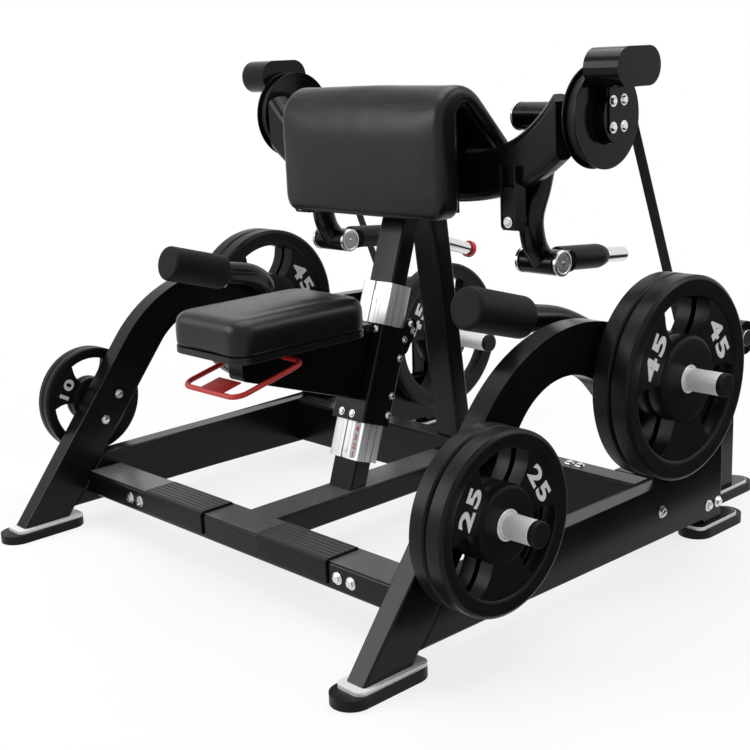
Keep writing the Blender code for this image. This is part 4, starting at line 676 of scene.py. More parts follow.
for side_name, side in SIDES:
    arch = bmesh.new()
    slab(arch, arch_outline(), "yz", INNER_X, OUTER_X, 0.006, 4)
    bends = [FOAM_START + FOAM_AXIS * (FOAM_LENGTH + 0.0075)] + [Vector(point) for point in (
        (0.530, 0.700, 0.573), (0.558, 0.765, 0.535), (0.605, 0.800, 0.487))]
    route = [FOAM_START + FOAM_AXIS * 0.012] + smooth_route(bends, 10)
    carried(arch, route, circle((0, 0), HANDLE_RADIUS, 40), AXIS_X)
    piece(f"{side_name}_side_arch", arch, coat, nodes=[f"{side_name}_arch"], side=side)
    rest = bmesh.new()
    away = Vector((math.sin(STRUT_ANGLE), math.cos(STRUT_ANGLE)))
    run = Vector((away.y, -away.x)) * 0.030
    foot = LOAD - away * away.dot(LOAD - strut_top(0))
    low, high = foot - away * 0.003, LOAD - away * 0.0248
    slab(rest, [tuple(p) for p in (low - run, low + run, high + run, high - run)], "yz",
         SIDE_X - 0.020, SIDE_X + 0.020, 0.003)
    piece(f"{side_name}_lever_rest_pad", rest, soft_rubber, side=side)
    grip = bmesh.new()
    bore = HANDLE_RADIUS + 0.0006
    turned(grip, eased([(0, 0), (0, FOAM_RADIUS), (FOAM_LENGTH, FOAM_RADIUS),
                        (FOAM_LENGTH, bore + 0.0004), (FOAM_LENGTH - 0.005, bore),
                        (0.02, bore), (0.02, 0)], 0.011, 6), FOAM_START, FOAM_AXIS)
    piece(f"{side_name}_foam_grip", grip, foam, nodes=[f"{side_name}_foam_handle"], side=side,
          sharp=60)
    ring = bmesh.new()
    tube(ring, FOAM_START + FOAM_AXIS * (FOAM_LENGTH + 0.0005), FOAM_AXIS, 0.004, 0.0335, 0.0302)
    under_tube = FOAM_START + FOAM_AXIS * (FOAM_LENGTH + 0.015) + Vector((0, -0.008, -HANDLE_RADIUS))
    bolt(ring, under_tube, -AXIS_Z, 0.0065, 0.006)
    piece(f"{side_name}_foam_collar", ring, pitted_chrome, side=side)
print("arches and handles:", len(pieces_made), "pieces so far")

# %% [markdown]
# The side rails, rear posts and pivot columns are plain rectangular tube.  They are welded
# together on the real bench, so on each side they make one piece that stands for one CAD solid.

# %% Side rails, rear posts and pivot columns
PIVOT = (1.350, 0.425)
for side_name, side in SIDES:
    base = bmesh.new()
    slip = GAP / math.sin(LEG_ANGLE)
    rail = [(leg_back_y(RAIL_BOTTOM) + slip, RAIL_BOTTOM), (1.090, RAIL_BOTTOM),
            (1.090, TUBE_FOOT), (1.165, TUBE_FOOT), (1.165, 0.300), (1.090, 0.300),
            (1.090, RAIL_TOP), (leg_back_y(RAIL_TOP) + slip, RAIL_TOP)]
    slab(base, rail, "yz", INNER_X, OUTER_X, 0.006, 4)
    front, back, top = 1.3125, 1.3875, 0.4625
    column = rounded([(0.9503, RAIL_BOTTOM, 0), (front, RAIL_BOTTOM, 0), (front, TUBE_FOOT, 0),
                      (back, TUBE_FOOT, 0), (back, top, 0.037), (front, top, 0.037),
                      (front, RAIL_TOP, 0), (0.9503, RAIL_TOP, 0)])
    slab(base, column, "yz", BELT_X - 0.025, BELT_X + 0.025, 0.006, 4)
    beam(base, (BELT_X, 1.096, 0.056), (SIDE_X, 1.159, 0.164), "x")
    piece(f"{side_name}_rail_and_column", base, coat, nodes=[f"{side_name}_side_base"], side=side)
    pin = bmesh.new()
    rod(pin, (BELT_X + 0.02, *PIVOT), AXIS_X, 0.0553, 0.0125)
    rod(pin, (0.5883, *PIVOT), AXIS_X, 0.0040, 0.020, 0.0010)
    piece(f"{side_name}_pivot_pin", pin, chrome, side=side)

# %% Crossmembers, spine and treads
front_cross = bmesh.new()
beam(front_cross, (-0.5947, 0.192, 0.072), (0.5947, 0.292, 0.132), "x", 0.008)
beam(front_cross, (-0.050, 0.285, 0.0735), (0.050, 0.8897, 0.1305), "y", 0.006)
# This tube wears the coat with the most painted top light.
piece("front_crossmember_tube", front_cross, top_lit_coat, nodes=["front_crossmember"])
rear_cross = bmesh.new()
beam(rear_cross, (-0.5947, 0.890, RAIL_BOTTOM), (0.5947, 0.950, RAIL_TOP), "x")
piece("rear_crossmember_tube", rear_cross, coat, nodes=["rear_crossmember"])

for side_name, side in SIDES:
    top, front, back, low = 0.1323, 0.1917, 0.280, 0.084
    rise, skin = top + 0.005, 0.005
    outline = [(front, low), (front, top), (back, top), (back, rise - 0.001)]
    pitch = (back - front) / 7
    for k in range(7):
        outline += [(back - (k + 0.15) * pitch, rise + 0.0006),
                    (back - (k + 0.25) * pitch, rise + 0.0015),
                    (back - (k + 0.55) * pitch, rise + 0.0015),
                    (back - (k + 0.65) * pitch, rise + 0.0006), (back - (k + 0.8) * pitch, rise)]
    bend = [(front + 0.001 - (skin + 0.001) * math.sin(a), top - 0.003 + 0.008 * math.cos(a))
            for a in (0.3, 0.6, 0.9, 1.2, 1.5)]
    outline += bend + [(front - skin, low + 0.002), (front - skin + 0.002, low)]
    tread = bmesh.new()
    slab(tread, outline, "yz", 0.102, 0.333, 0.0012, 2)
    piece(f"{side_name}_ribbed_tread", tread, tread_rubber, nodes=[f"{side_name}_foot_tread"],
          side=side, sharp=50)

# %% [markdown]
# Plain bolt heads tie the base together: two pairs on the front crossmember, two on the rear
# one, one on each rail, two on each rear post, and two inside each leg for the storage horn.

# %% Bolts of the base
base_bolts = bmesh.new()
for x in (0.363, 0.404):
    bolt(base_bolts, (x, 0.192, 0.104), -AXIS_Y, 0.0095, 0.008)
for x in (0.382, 0.413):
    bolt(base_bolts, (x, 0.920, RAIL_TOP), AXIS_Z)
bolt(base_bolts, (OUTER_X, 0.920, 0.109), AXIS_X, 0.0095, 0.008)
for y in (1.108, 1.147):
    bolt(base_bolts, (OUTER_X, y, 0.072), AXIS_X, 0.0095, 0.008)
for y, z in ((0.301, 0.314), (0.255, 0.256)):
    bolt(base_bolts, (INNER_X, y, z), -AXIS_X, 0.008, 0.006)
mirrored(base_bolts)
piece("base_bolts", base_bolts, chrome, sharp=25)
leg_discs = bmesh.new()
rod(leg_discs, (INNER_X, 0.2723, 0.292), -AXIS_X, 0.0015, 0.036, 0.0005)
mirrored(leg_discs)
piece("leg_discs", leg_discs, coat)

# %% [markdown]
# ## The centre frame
# A leaning post carries the seat.  Around it sits an extruded aluminium slide with a slot down
# its front and each side, and a black sleeve, the carriage, runs up and down on it.  It helps to
# have the leaning post's own directions: up along it and back through it.

# %% Leaning post
def post_point(up, back, x=0.0):
    return Vector((x, 0.606 + up * math.sin(POST_LEAN) + back * math.cos(POST_LEAN),
                   0.400 + up * math.cos(POST_LEAN) - back * math.sin(POST_LEAN)))


def post_y(back, z):
    on_plane = post_point(0, back)
    return on_plane.y + (z - on_plane.z) * math.tan(POST_LEAN)


def along_post(shape, outline, low, high, edge=0.0):
    """A slab whose outline is (x, back) and that runs up the post from low to high."""
    first = len(shape.verts)
    slab(shape, outline, "xy", low, high, edge)
    shape.verts.ensure_lookup_table()
    for vert in shape.verts[first:]:
        vert.co = post_point(vert.co.z, vert.co.y, vert.co.x)


posts = bmesh.new()
low, high = 0.1308, 0.7947
front, back = 0.0083, 0.0583
slab(posts, [(post_y(front, low), low), (post_y(back, low), low), (post_y(back, high), high),
             (post_y(front, high), high)], "yz", -0.040, 0.040, 0.006, 4)
piece("leaning_seat_post", posts, coat, nodes=["seat_post"])


def upright_y(z, depth=0.0):
    lean = math.radians(6.66)
    return 0.8997 - (z - RAIL_TOP) * math.tan(lean) + depth / math.cos(lean)


upright = bmesh.new()
low = RAIL_TOP + GAP
slab(upright, [(upright_y(low), low), (upright_y(low, 0.050), low), (upright_y(0.850, 0.050), 0.850),
               (upright_y(0.850), 0.850)], "yz", -0.040, 0.040, 0.006, 4)
piece("rear_upright_tube", upright, coat, nodes=["rear_upright"])

# %% Aluminium slide
SLIDE_DEPTH, SLIDE_LOW, SLIDE_HIGH = 0.0666, -0.208, 0.222
wide, deep = 0.050, SLIDE_DEPTH
inner_wide, wall, slot, sink = 0.0403, 0.0083, 0.0095, 0.004
outer = [(0, sink), (slot, sink), (slot, 0.0004), (slot + 0.0004, 0), (0.0205, 0), (0.0208, 0.0006),
         (0.0215, 0.0006), (0.0218, 0), (wide - 0.005, 0), (wide - 0.0015, 0.0015), (wide, 0.005),
         (wide, 0.0110), (wide - 0.0015, 0.0116), (wide - 0.0015, 0.0150), (wide, 0.0156),
         (wide, 0.0215), (wide - sink, 0.0215), (wide - sink, 0.0250), (wide - 0.0016, 0.0256),
         (wide - 0.0016, 0.0410), (wide - sink, 0.0416), (wide - sink, 0.0450), (wide, 0.0450),
         (wide, deep - 0.0156), (wide - 0.0015, deep - 0.0150), (wide - 0.0015, deep - 0.0116),
         (wide, deep - 0.0110), (wide, deep - 0.005),
         (wide - 0.0015, deep - 0.0015), (wide - 0.005, deep), (0, deep)]
inner = [(0, deep - wall), (inner_wide, deep - wall), (inner_wide, deep / 2), (inner_wide, wall),
         (0, wall)]
slide = bmesh.new()
right_half = outer + inner
along_post(slide, right_half, SLIDE_LOW, SLIDE_HIGH)
along_post(slide, [(-x, back) for x, back in reversed(right_half)], SLIDE_LOW, SLIDE_HIGH)
bmesh.ops.remove_doubles(slide, verts=slide.verts, dist=1e-6)
inside = [face for face in slide.faces
          if all(abs(vert.co.x) < 1e-6 for vert in face.verts)]
bmesh.ops.delete(slide, geom=inside, context="FACES")
piece("slide_extrusion", slide, aluminium, nodes=["slide_profile"], sharp=30)

# %% [markdown]
# The front slot is closed by a thin bright strip with a screw at its foot, and beside it runs a
# printed scale with the plain numbers 1 to 5.  Text objects give the numbers; each is turned into
# a mesh so that it can be laid on the leaning face.

# %% Slot strip and scale
strip = bmesh.new()
along_post(strip, rectangle((-0.0075, 0.0014), (0.0075, 0.0036), 0.0004), -0.202, 0.200, 0.0004)
piece("front_slot_strip", strip, aluminium)
strip_screws = bmesh.new()
FACE_OUT = Vector((0, -math.cos(POST_LEAN), math.sin(POST_LEAN)))
for reach in (-0.190, 0.178):
    rod(strip_screws, post_point(reach, 0.0016), FACE_OUT, 0.0016, 0.0058, 0.0006, 24)
piece("front_slot_screws", strip_screws, chrome)
label = bmesh.new()
slab(label, stadium((0.0305, -0.154), (0.0200, 0.100)), "xy", -0.0002, 0.0004, 0.0001)
for vert in label.verts:
    vert.co = post_point(vert.co.y, -vert.co.z, vert.co.x)
piece("scale_strip", label, label_grey)


def numeral(text, size, stretch=1.0, embolden=0.0, spacing=1.0, thickness=0.0003):
    """A mesh of a text, centred on its origin in the XY plane and facing +Z."""
    curve = bpy.data.curves.new("numeral", "FONT")
    curve.body = text
    curve.size = size
    curve.align_x = "CENTER"
    curve.align_y = "CENTER"
    curve.offset = embolden
    curve.extrude = thickness
    curve.space_character = spacing
    holder = bpy.data.objects.new("numeral", curve)
    bpy.context.scene.collection.objects.link(holder)
    bpy.context.view_layer.update()
    mesh = bpy.data.meshes.new_from_object(holder)
    shape = bmesh.new()
    shape.from_mesh(mesh)
    bpy.data.objects.remove(holder)
    bpy.data.meshes.remove(mesh)
    bmesh.ops.remove_doubles(shape, verts=shape.verts, dist=1e-6)
    xs = [vert.co.x for vert in shape.verts]
    ys = [vert.co.y for vert in shape.verts]
    shift = Vector(((min(xs) + max(xs)) / 2, (min(ys) + max(ys)) / 2, 0))
    for vert in shape.verts:
        vert.co -= shift
        vert.co.x *= stretch
    return shape


def stamp(target, shape, place, across, up):
    """Add a numeral to a shape at a place, with its own X along across and its Y along up."""
    facing = across.cross(up)
    moved = {vert: target.verts.new(place + across * vert.co.x + up * vert.co.y
                                    + facing * vert.co.z) for vert in shape.verts}
    for face in shape.faces:
        target.faces.new([moved[vert] for vert in face.verts])
    shape.free()


scale_numbers = bmesh.new()
UP_POST = Vector((0, math.sin(POST_LEAN), math.cos(POST_LEAN)))
SCALE_START, SCALE_STEP, SCALE_X = -0.1950, 0.0208, 0.0305
for number in range(1, 6):
    reach = SCALE_START + (number - 1) * SCALE_STEP
    stamp(scale_numbers, numeral(str(number), 0.0200, 1.35, 0.0003, 1.0, 0.0002),
          post_point(reach, -0.0005, SCALE_X), AXIS_X, UP_POST)
piece("scale_numbers", scale_numbers, red)

# %% [markdown]
# The carriage is a black sleeve with bolts down its right side and on a front flange.  The seat
# arm is a deep tapered box that is bolted to its front.

# %% Carriage and seat arm
CARRIAGE_LOW, CARRIAGE_HIGH, CARRIAGE_HALF, CARRIAGE_WALL = -0.116, 0.122, 0.056, 0.0115
carriage = bmesh.new()
outline = rectangle((-CARRIAGE_HALF, -CARRIAGE_WALL), (CARRIAGE_HALF, SLIDE_DEPTH + CARRIAGE_WALL),
                    0.007)
along_post(carriage, outline, CARRIAGE_LOW, CARRIAGE_HIGH, 0.0025)
bmesh.ops.delete(carriage, geom=[face for face in carriage.faces if len(face.verts) > 12],
                 context="FACES")
hole = rectangle((-wide - GAP, -GAP), (wide + GAP, SLIDE_DEPTH + GAP), 0.0008)
for reach, inward in ((CARRIAGE_LOW, 1), (CARRIAGE_HIGH, -1)):
    mouth = [carriage.verts.new(post_point(reach, back, x)) for x, back in hole]
    depth = [carriage.verts.new(post_point(reach + inward * 0.012, back, x)) for x, back in hole]
    for k in range(len(mouth)):
        after = (k + 1) % len(mouth)
        carriage.faces.new((mouth[k], mouth[after], depth[after], depth[k]))
    rim = [edge for edge in carriage.edges
           if edge.is_boundary and all(abs((vert.co - post_point(reach, 0)).dot(UP_POST)) < 1e-4
                                       for vert in edge.verts)]
    bmesh.ops.triangle_fill(carriage, edges=rim, use_beauty=True)
piece("carriage_sleeve", carriage, coat, "seat", ["seat_carriage"])

arm = bmesh.new()
rear = -CARRIAGE_WALL - GAP
arm_top = 0.5177
outline = rounded([(0.240, 0.455, 0.012), (post_y(rear, 0.343), 0.343, 0),
                   (post_y(rear, arm_top), arm_top, 0), (0.240, arm_top, 0.006)])
slab(arm, outline, "yz", -0.025, 0.025, 0.004)
piece("seat_arm_box", arm, coat, "seat", ["seat_arm"])

lug = bmesh.new()
slab(lug, tapered_bar((0.6990, 0.452), 0.020, (0.7285, 0.4955), 0.0199), "yz",
     0.0505, CARRIAGE_HALF - 0.0002, 0.001)
piece("carriage_lug", lug, coat, "seat")

seat_bolts = bmesh.new()
bolt(seat_bolts, (CARRIAGE_HALF - 0.0002, 0.727, 0.504), AXIS_X, 0.0062, 0.005)
for y, z in ((0.734, 0.485), (0.705, 0.469), (0.686, 0.426), (0.654, 0.339), (0.639, 0.295)):
    bolt(seat_bolts, (CARRIAGE_HALF, y, z), AXIS_X, 0.0062, 0.005)
    bolt(seat_bolts, (-CARRIAGE_HALF, y, z), -AXIS_X, 0.0062, 0.005)
upper, lower = CARRIAGE_HIGH - 0.014, CARRIAGE_LOW + 0.016
for x, reach in ((0.036, upper), (-0.036, upper), (-0.022, lower), (0.014, lower)):
    bolt(seat_bolts, post_point(reach, -CARRIAGE_WALL, x), FACE_OUT, 0.0066, 0.005)
piece("carriage_bolts", seat_bolts, chrome, "seat", sharp=25)

# %% [markdown]
# ## The cushions
# Both cushions are firm foam under vinyl.  The way that looks most like upholstery is to build a
# slightly small shape, give it the air pressure of a cloth simulation, let it swell for a few
# frames, and hold each point to a few millimetres of travel.  Averaging the travel takes the
# ripples out again, for these pads are new and taut.  The lower rim stays where the board is.

# %% Cushion shapes
def ringed(loops, shape):
    """Join rings of points into a closed body, with a fan over each end."""
    rings = [[shape.verts.new(point) for point in loop] for loop in loops]
    for first, second in zip(rings, rings[1:]):
        for k in range(len(first)):
            after = (k + 1) % len(first)
            shape.faces.new((first[k], first[after], second[after], second[k]))
    for ring in (rings[0], rings[-1]):
        centre = sum((vert.co for vert in ring), Vector()) / len(ring)
        peak = shape.verts.new(centre)
        for k in range(len(ring)):
            shape.faces.new((ring[k], ring[(k + 1) % len(ring)], peak))


SEAT_CENTRE, SEAT_HALF = Vector((0, 0.345)), Vector((0.130, 0.190))
SEAT_BASE, SEAT_THICKNESS = 0.5303, 0.083


def seat_loops():
    """Rings from the seat's lower rim up its walls and in over its crowned top."""
    centre, half = SEAT_CENTRE, SEAT_HALF
    base_z, height = SEAT_BASE, SEAT_THICKNESS
    walls = [(0.0, 0.0065), (0.03, 0.0035), (0.08, 0.0022), (0.30, 0.0018), (0.55, 0.0018),
             (0.70, 0.0028), (0.80, 0.0055), (0.88, 0.0105), (0.935, 0.017), (0.965, 0.026)]
    loops = []
    for share, inset in walls:
        outline = rectangle((centre.x - half.x + inset, centre.y - half.y + inset),
                            (centre.x + half.x - inset, centre.y + half.y - inset),
                            max(0.044 - inset * 0.6, 0.01))
        loops.append((outline, base_z + share * height))
    points = []
    for outline, z in loops:
        ring = []
        for index, start in enumerate(outline):
            stop = Vector(outline[(index + 1) % len(outline)])
            span = stop - Vector(start)
            for k in range(max(1, int(span.length / 0.02))):
                spot = Vector(start) + span * k / max(1, int(span.length / 0.02))
                share = Vector(((spot.x - centre.x) / half.x, (spot.y - centre.y) / half.y))
                pull = Vector((share.x * (1 - share.y ** 2), share.y * (1 - share.x ** 2))) * 0.004
                ring.append(Vector((spot.x - pull.x, spot.y - pull.y, z)))
        points.append(ring)
    count = min(len(ring) for ring in points)
    even = []
    for ring in points:
        lengths = [0.0]
        for k in range(len(ring)):
            lengths.append(lengths[-1] + (ring[(k + 1) % len(ring)] - ring[k]).length)
        even.append([along_ring(ring, lengths, lengths[-1] * k / count) for k in range(count)])
    rim = even[-1]
    middle = Vector((centre.x, centre.y, 0))
    for scale in (0.8, 0.55, 0.28):
        rise = base_z + height - 0.0055 * scale ** 2
        even.append([Vector((middle.x + (point.x - middle.x) * scale,
                             middle.y + (point.y - middle.y) * scale, rise)) for point in rim])
    return even


def along_ring(ring, lengths, distance):
    """The point at a distance along a closed ring."""
    k = max(index for index in range(len(ring)) if lengths[index] <= distance + 1e-9)
    share = (distance - lengths[k]) / max(lengths[k + 1] - lengths[k], 1e-9)
    return ring[k].lerp(ring[(k + 1) % len(ring)], share)


# %% [markdown]
# The arm pad bends over a crest: a thick upright front for the chest, and a thinner slope behind
# it for the upper arms.  Its cross-section is the same all the way across, apart from the two ends,
# which round over, and the corners of the front, which are cut with a wide radius.

# %% Pad section
PAD_SLOPE, SLOPE_POINT = math.radians(46.4), (0.770, 1.032)
PAD_FRONT, PAD_BOTTOM, PAD_TAIL, PAD_HALF = 0.622, 0.772, 0.925, 0.268
PAD_THICKNESS, SLOPE_THICKNESS, PAD_BOARD = 0.064, 0.033, 0.012
CREST_RADIUS, BOARD_RADIUS = 0.080, 0.030


def slope_start(depth):
    return (SLOPE_POINT[0] - depth * math.sin(PAD_SLOPE), SLOPE_POINT[1] - depth * math.cos(PAD_SLOPE))


def pad_corners(front_depth, slope_depth, margin):
    """Bottom, crest and tail of a line along the pad at the given depths."""
    front = PAD_FRONT + front_depth
    crest = line_meet((front, 0), math.pi / 2, slope_start(slope_depth), -PAD_SLOPE)
    outer_tail = line_meet((PAD_TAIL, 0), math.pi / 2, slope_start(0), -PAD_SLOPE)
    tail = line_meet(outer_tail, math.pi / 2 - PAD_SLOPE, slope_start(slope_depth), -PAD_SLOPE)
    tail -= Vector((math.cos(PAD_SLOPE), -math.sin(PAD_SLOPE))) * margin
    return (front, PAD_BOTTOM + margin), tuple(crest), tuple(tail)


def resampled(line, shares):
    """Points along an open line, each at a share of its length."""
    steps = [(Vector(b) - Vector(a)).length for a, b in zip(line, line[1:])]
    ends = [0.0]
    for step in steps:
        ends.append(ends[-1] + step)
    result = []
    for along in shares:
        distance = ends[-1] * along
        index = min(max(i for i in range(len(steps)) if ends[i] <= distance + 1e-9), len(steps) - 1)
        share = (distance - ends[index]) / steps[index]
        result.append(Vector(line[index]).lerp(Vector(line[index + 1]), share))
    return result


def over_crest(bottom, crest, tail, radius):
    """The open line from the pad's bottom over its crest to its tail."""
    return rounded([(*bottom, 0), (*crest, radius), (*tail, 0)])


def pad_cushion_shape():
    """A thick sheet over the crest that rounds over along its four edges."""
    length, half, corner, edge, drop = 0.565, PAD_HALF, 0.036, 0.012, 0.016
    close = [0.0, 0.0012, 0.003, 0.006, 0.010, 0.015, 0.022, 0.031, 0.042]
    rows = close + [0.056 + (length - 0.112) * k / 29 for k in range(30)]
    rows += [length - row for row in reversed(close)]
    shares = [row / length for row in rows]
    outer = resampled(over_crest(*pad_corners(0.0, 0.0, 0.0), CREST_RADIUS), shares)
    inner = resampled(over_crest(*pad_corners(PAD_THICKNESS, SLOPE_THICKNESS, 0.0), BOARD_RADIUS),
                      shares)
    count_along, count_across = len(rows), 40
    shape = bmesh.new()
    tops, unders = [], []
    for i, row in enumerate(rows):
        near = min(row, length - row)
        cut = max(0.0, corner - near)
        limit = half - (corner - math.sqrt(corner ** 2 - cut ** 2))
        row_top, row_under = [], []
        for j in range(count_across):
            x = limit * math.sin(-math.pi / 2 + math.pi * j / (count_across - 1))
            fall = 0.0
            for gap in (limit - abs(x), near):
                if gap < edge:
                    fall = max(fall, 1 - math.sqrt(1 - (1 - gap / edge) ** 2))
            depth = (outer[i] - inner[i]).length
            crown = 0.0005 - 0.0035 * (x / half) ** 2
            place = outer[i].lerp(inner[i], (fall * drop - crown) / depth)
            row_top.append(Vector((x, place.x, place.y)))
            row_under.append(Vector((x, inner[i].x, inner[i].y)))
        tops.append([shape.verts.new(point) for point in row_top])
        unders.append([shape.verts.new(point) for point in row_under])
    for i in range(count_along - 1):
        for j in range(count_across - 1):
            shape.faces.new((tops[i][j], tops[i][j + 1], tops[i + 1][j + 1], tops[i + 1][j]))
            shape.faces.new((unders[i][j], unders[i + 1][j], unders[i + 1][j + 1], unders[i][j + 1]))
        for j in (0, count_across - 1):
            shape.faces.new((tops[i][j], tops[i + 1][j], unders[i + 1][j], unders[i][j]))
    for i in (0, count_along - 1):
        for j in range(count_across - 1):
            shape.faces.new((tops[i][j], unders[i][j], unders[i][j + 1], tops[i][j + 1]))
    return shape


# %% Swelling by cloth
def swollen(made, held, travel, pressure=4.0, voxel=0.0055):
    """Remesh a cushion, let cloth pressure swell it, and cap how far a point may move."""
    remesh = made.modifiers.new("remesh", "REMESH")
    remesh.mode = "VOXEL"
    remesh.voxel_size = voxel
    smooth = made.modifiers.new("smooth", "SMOOTH")
    smooth.factor = 0.5
    smooth.iterations = 6
    bake_modifiers(made)
    mesh = made.data
    rest = np.empty(len(mesh.vertices) * 3)
    mesh.vertices.foreach_get("co", rest)
    rest = rest.reshape(-1, 3)
    group = made.vertex_groups.new(name="held")
    for index, point in enumerate(rest):
        weight = held(point)
        if weight > 0:
            group.add([index], weight, "REPLACE")
    cloth = made.modifiers.new("cloth", "CLOTH")
    settings = cloth.settings
    settings.quality = 6
    settings.mass = 0.4
    settings.tension_stiffness = 60
    settings.compression_stiffness = 60
    settings.shear_stiffness = 30
    settings.bending_stiffness = 60
    settings.use_pressure = True
    settings.uniform_pressure_force = pressure
    settings.effector_weights.gravity = 0
    settings.vertex_group_mass = "held"
    cloth.point_cache.frame_start = 1
    cloth.point_cache.frame_end = 20
    scene = bpy.context.scene
    for number in range(1, 21):
        scene.frame_set(number)
    bake_modifiers(made)
    scene.frame_set(1)
    mesh = made.data
    grown = np.empty(len(mesh.vertices) * 3)
    mesh.vertices.foreach_get("co", grown)
    grown = grown.reshape(-1, 3)
    move = grown - rest
    length = np.linalg.norm(move, axis=1, keepdims=True)
    move *= np.minimum(1.0, travel / np.maximum(length, 1e-9))
    move = evened(mesh, move, 40)
    mesh.vertices.foreach_set("co", (rest + move).ravel())
    print(made.name, "swelled by up to", round(float(np.max(np.minimum(length, travel))) * 1000, 1),
          "mm over", len(rest), "points")
    mesh.update()
    mesh.shade_smooth()


def evened(mesh, move, rounds):
    """Average each point's move with its neighbours', as firm foam under vinyl would."""
    pairs = np.empty(len(mesh.edges) * 2, dtype=int)
    mesh.edges.foreach_get("vertices", pairs)
    first, second = pairs.reshape(-1, 2).T
    counts = np.bincount(pairs, minlength=len(move))[:, None]
    for _ in range(rounds):
        total = np.zeros_like(move)
        np.add.at(total, first, move[second])
        np.add.at(total, second, move[first])
        move = 0.5 * move + 0.5 * total / np.maximum(counts, 1)
    return move


def bake_modifiers(made):
    """Replace an object's mesh by what its modifiers make of it."""
    bpy.context.view_layer.update()
    graph = bpy.context.evaluated_depsgraph_get()
    fresh = bpy.data.meshes.new_from_object(made.evaluated_get(graph))
    made.modifiers.clear()
    old = made.data
    made.data = fresh
    bpy.data.meshes.remove(old)


# %% Seat cushion
seat_shape = bmesh.new()
ringed(seat_loops(), seat_shape)
seat_cushion = piece("seat_cushion_vinyl", seat_shape, vinyl, "seat", ["seat_cushion"], sharp=180)
seat_cushion.modifiers.clear()
swollen(seat_cushion, lambda point: 1.0 if point[2] < 0.5445 else 0.0, 0.0045)

# %% Arm pad cushion
pad_cushion = piece("arm_pad_vinyl", pad_cushion_shape(), vinyl, nodes=["pad_cushion"], sharp=180)
pad_cushion.modifiers.clear()
inner_line = resampled(over_crest(*pad_corners(PAD_THICKNESS, SLOPE_THICKNESS, 0.0), BOARD_RADIUS),
                       [k / 59 for k in range(60)])


def near_board(point):
    spot = Vector((point[1] + Y_MIDDLE, point[2]))
    return 1.0 if min((spot - other).length for other in inner_line) < 0.008 else 0.0


swollen(pad_cushion, near_board, 0.0035)

# %% [markdown]
# Boards carry the cushions.  The seat's vinyl is pulled down over its board, which shows as a
# darker band below a seam, and the arm pad's board is bent like the pad.

# %% Boards and the seat band
seat_board = bmesh.new()
corner = SEAT_HALF - Vector((0.006, 0.006))
slab(seat_board, rectangle(SEAT_CENTRE - corner, SEAT_CENTRE + corner, 0.036), "xy",
     0.518, 0.530, 0.0015)
piece("seat_board_panel", seat_board, board, "seat", ["seat_board"])
band = bmesh.new()
corner = SEAT_HALF - Vector((0.0032, 0.0032))
band_outline = rectangle(SEAT_CENTRE - corner, SEAT_CENTRE + corner, 0.040)
slab(band, band_outline, "xy", 0.5200, 0.5335, 0.0022)
piece("seat_lower_band", band, vinyl, "seat")

pad_board = bmesh.new()
margin, side_margin = 0.014, 0.012        # the cushion's rounded corners hide the board's own
outer = pad_corners(PAD_THICKNESS + GAP, SLOPE_THICKNESS + GAP, margin)
inner = pad_corners(PAD_THICKNESS + GAP + PAD_BOARD, SLOPE_THICKNESS + GAP + PAD_BOARD, margin)
outline = rounded([(*outer[0], 0), (*outer[1], BOARD_RADIUS), (*outer[2], 0), (*inner[2], 0),
                   (*inner[1], BOARD_RADIUS - PAD_BOARD), (*inner[0], 0)])
slab(pad_board, outline, "yz", -PAD_HALF + side_margin, PAD_HALF - side_margin, 0.0015)
piece("arm_pad_board", pad_board, coat, nodes=["pad_board"])

# %% [markdown]
# The red release loop hangs under the seat from an axle in the seat arm.  A round section is
# carried along a bent route without twisting, and a small paddle closes the front.

# %% Release loop
def bent_route(points, radius, pieces):
    """A route with an arc of the given radius at each inner corner."""
    route = [points[0]]
    for before, here, after in zip(points, points[1:], points[2:]):
        back = (before - here).normalized()
        ahead = (after - here).normalized()
        half = back.angle(ahead) / 2
        centre = here + (back + ahead).normalized() * (radius / math.sin(half))
        start = here + back * (radius / math.tan(half)) - centre
        stop = here + ahead * (radius / math.tan(half)) - centre
        for k in range(pieces + 1):
            turn = start.normalized().slerp(stop.normalized(), k / pieces)
            route.append(centre + turn * start.length)
    return route + [points[-1]]


def tube_along(shape, route, radius, sides=20):
    """A round tube whose rings carry on from one another without a twist."""
    guide = AXIS_Z
    loops = []
    last = len(route) - 1
    for index, here in enumerate(route):
        ahead = (route[index + 1] - here).normalized() if index < last else Vector()
        behind = (here - route[index - 1]).normalized() if index else Vector()
        tangent = (ahead + behind).normalized()
        guide = (guide - tangent * guide.dot(tangent)).normalized()
        other = tangent.cross(guide)
        turns = [2 * math.pi * k / sides for k in range(sides)]
        loops.append([shape.verts.new(here + (guide * math.cos(a) + other * math.sin(a)) * radius)
                      for a in turns])
    shape.faces.new(loops[0])
    shape.faces.new(list(reversed(loops[-1])))
    for first, second in zip(loops, loops[1:]):
        for k in range(sides):
            after = (k + 1) % sides
            shape.faces.new((first[k], second[k], second[after], first[after]))


loop = bmesh.new()
axle, tip = Vector((0, 0.355, 0.489)), Vector((0, 0.165, 0.445))
bends = [axle + AXIS_X * 0.0125, axle + AXIS_X * 0.100, tip + AXIS_X * 0.100]
bends += [Vector((-point.x, point.y, point.z)) for point in reversed(bends)]
tube_along(loop, bent_route(bends, 0.030, 12), 0.006)
rise = math.atan2(axle.z - tip.z, axle.y - tip.y)
heading = Vector((0, math.cos(rise), math.sin(rise)))
upward_edge = Vector((0, -math.sin(rise), math.cos(rise))) * 0.0015
far = tip + heading * 0.060
slab(loop, [(point.y, point.z) for point in (tip - upward_edge, far - upward_edge,
                                             far + upward_edge, tip + upward_edge)],
     "yz", -0.040, 0.040, 0.0006)
piece("release_loop_rod", loop, red, "release", ["release_loop"])

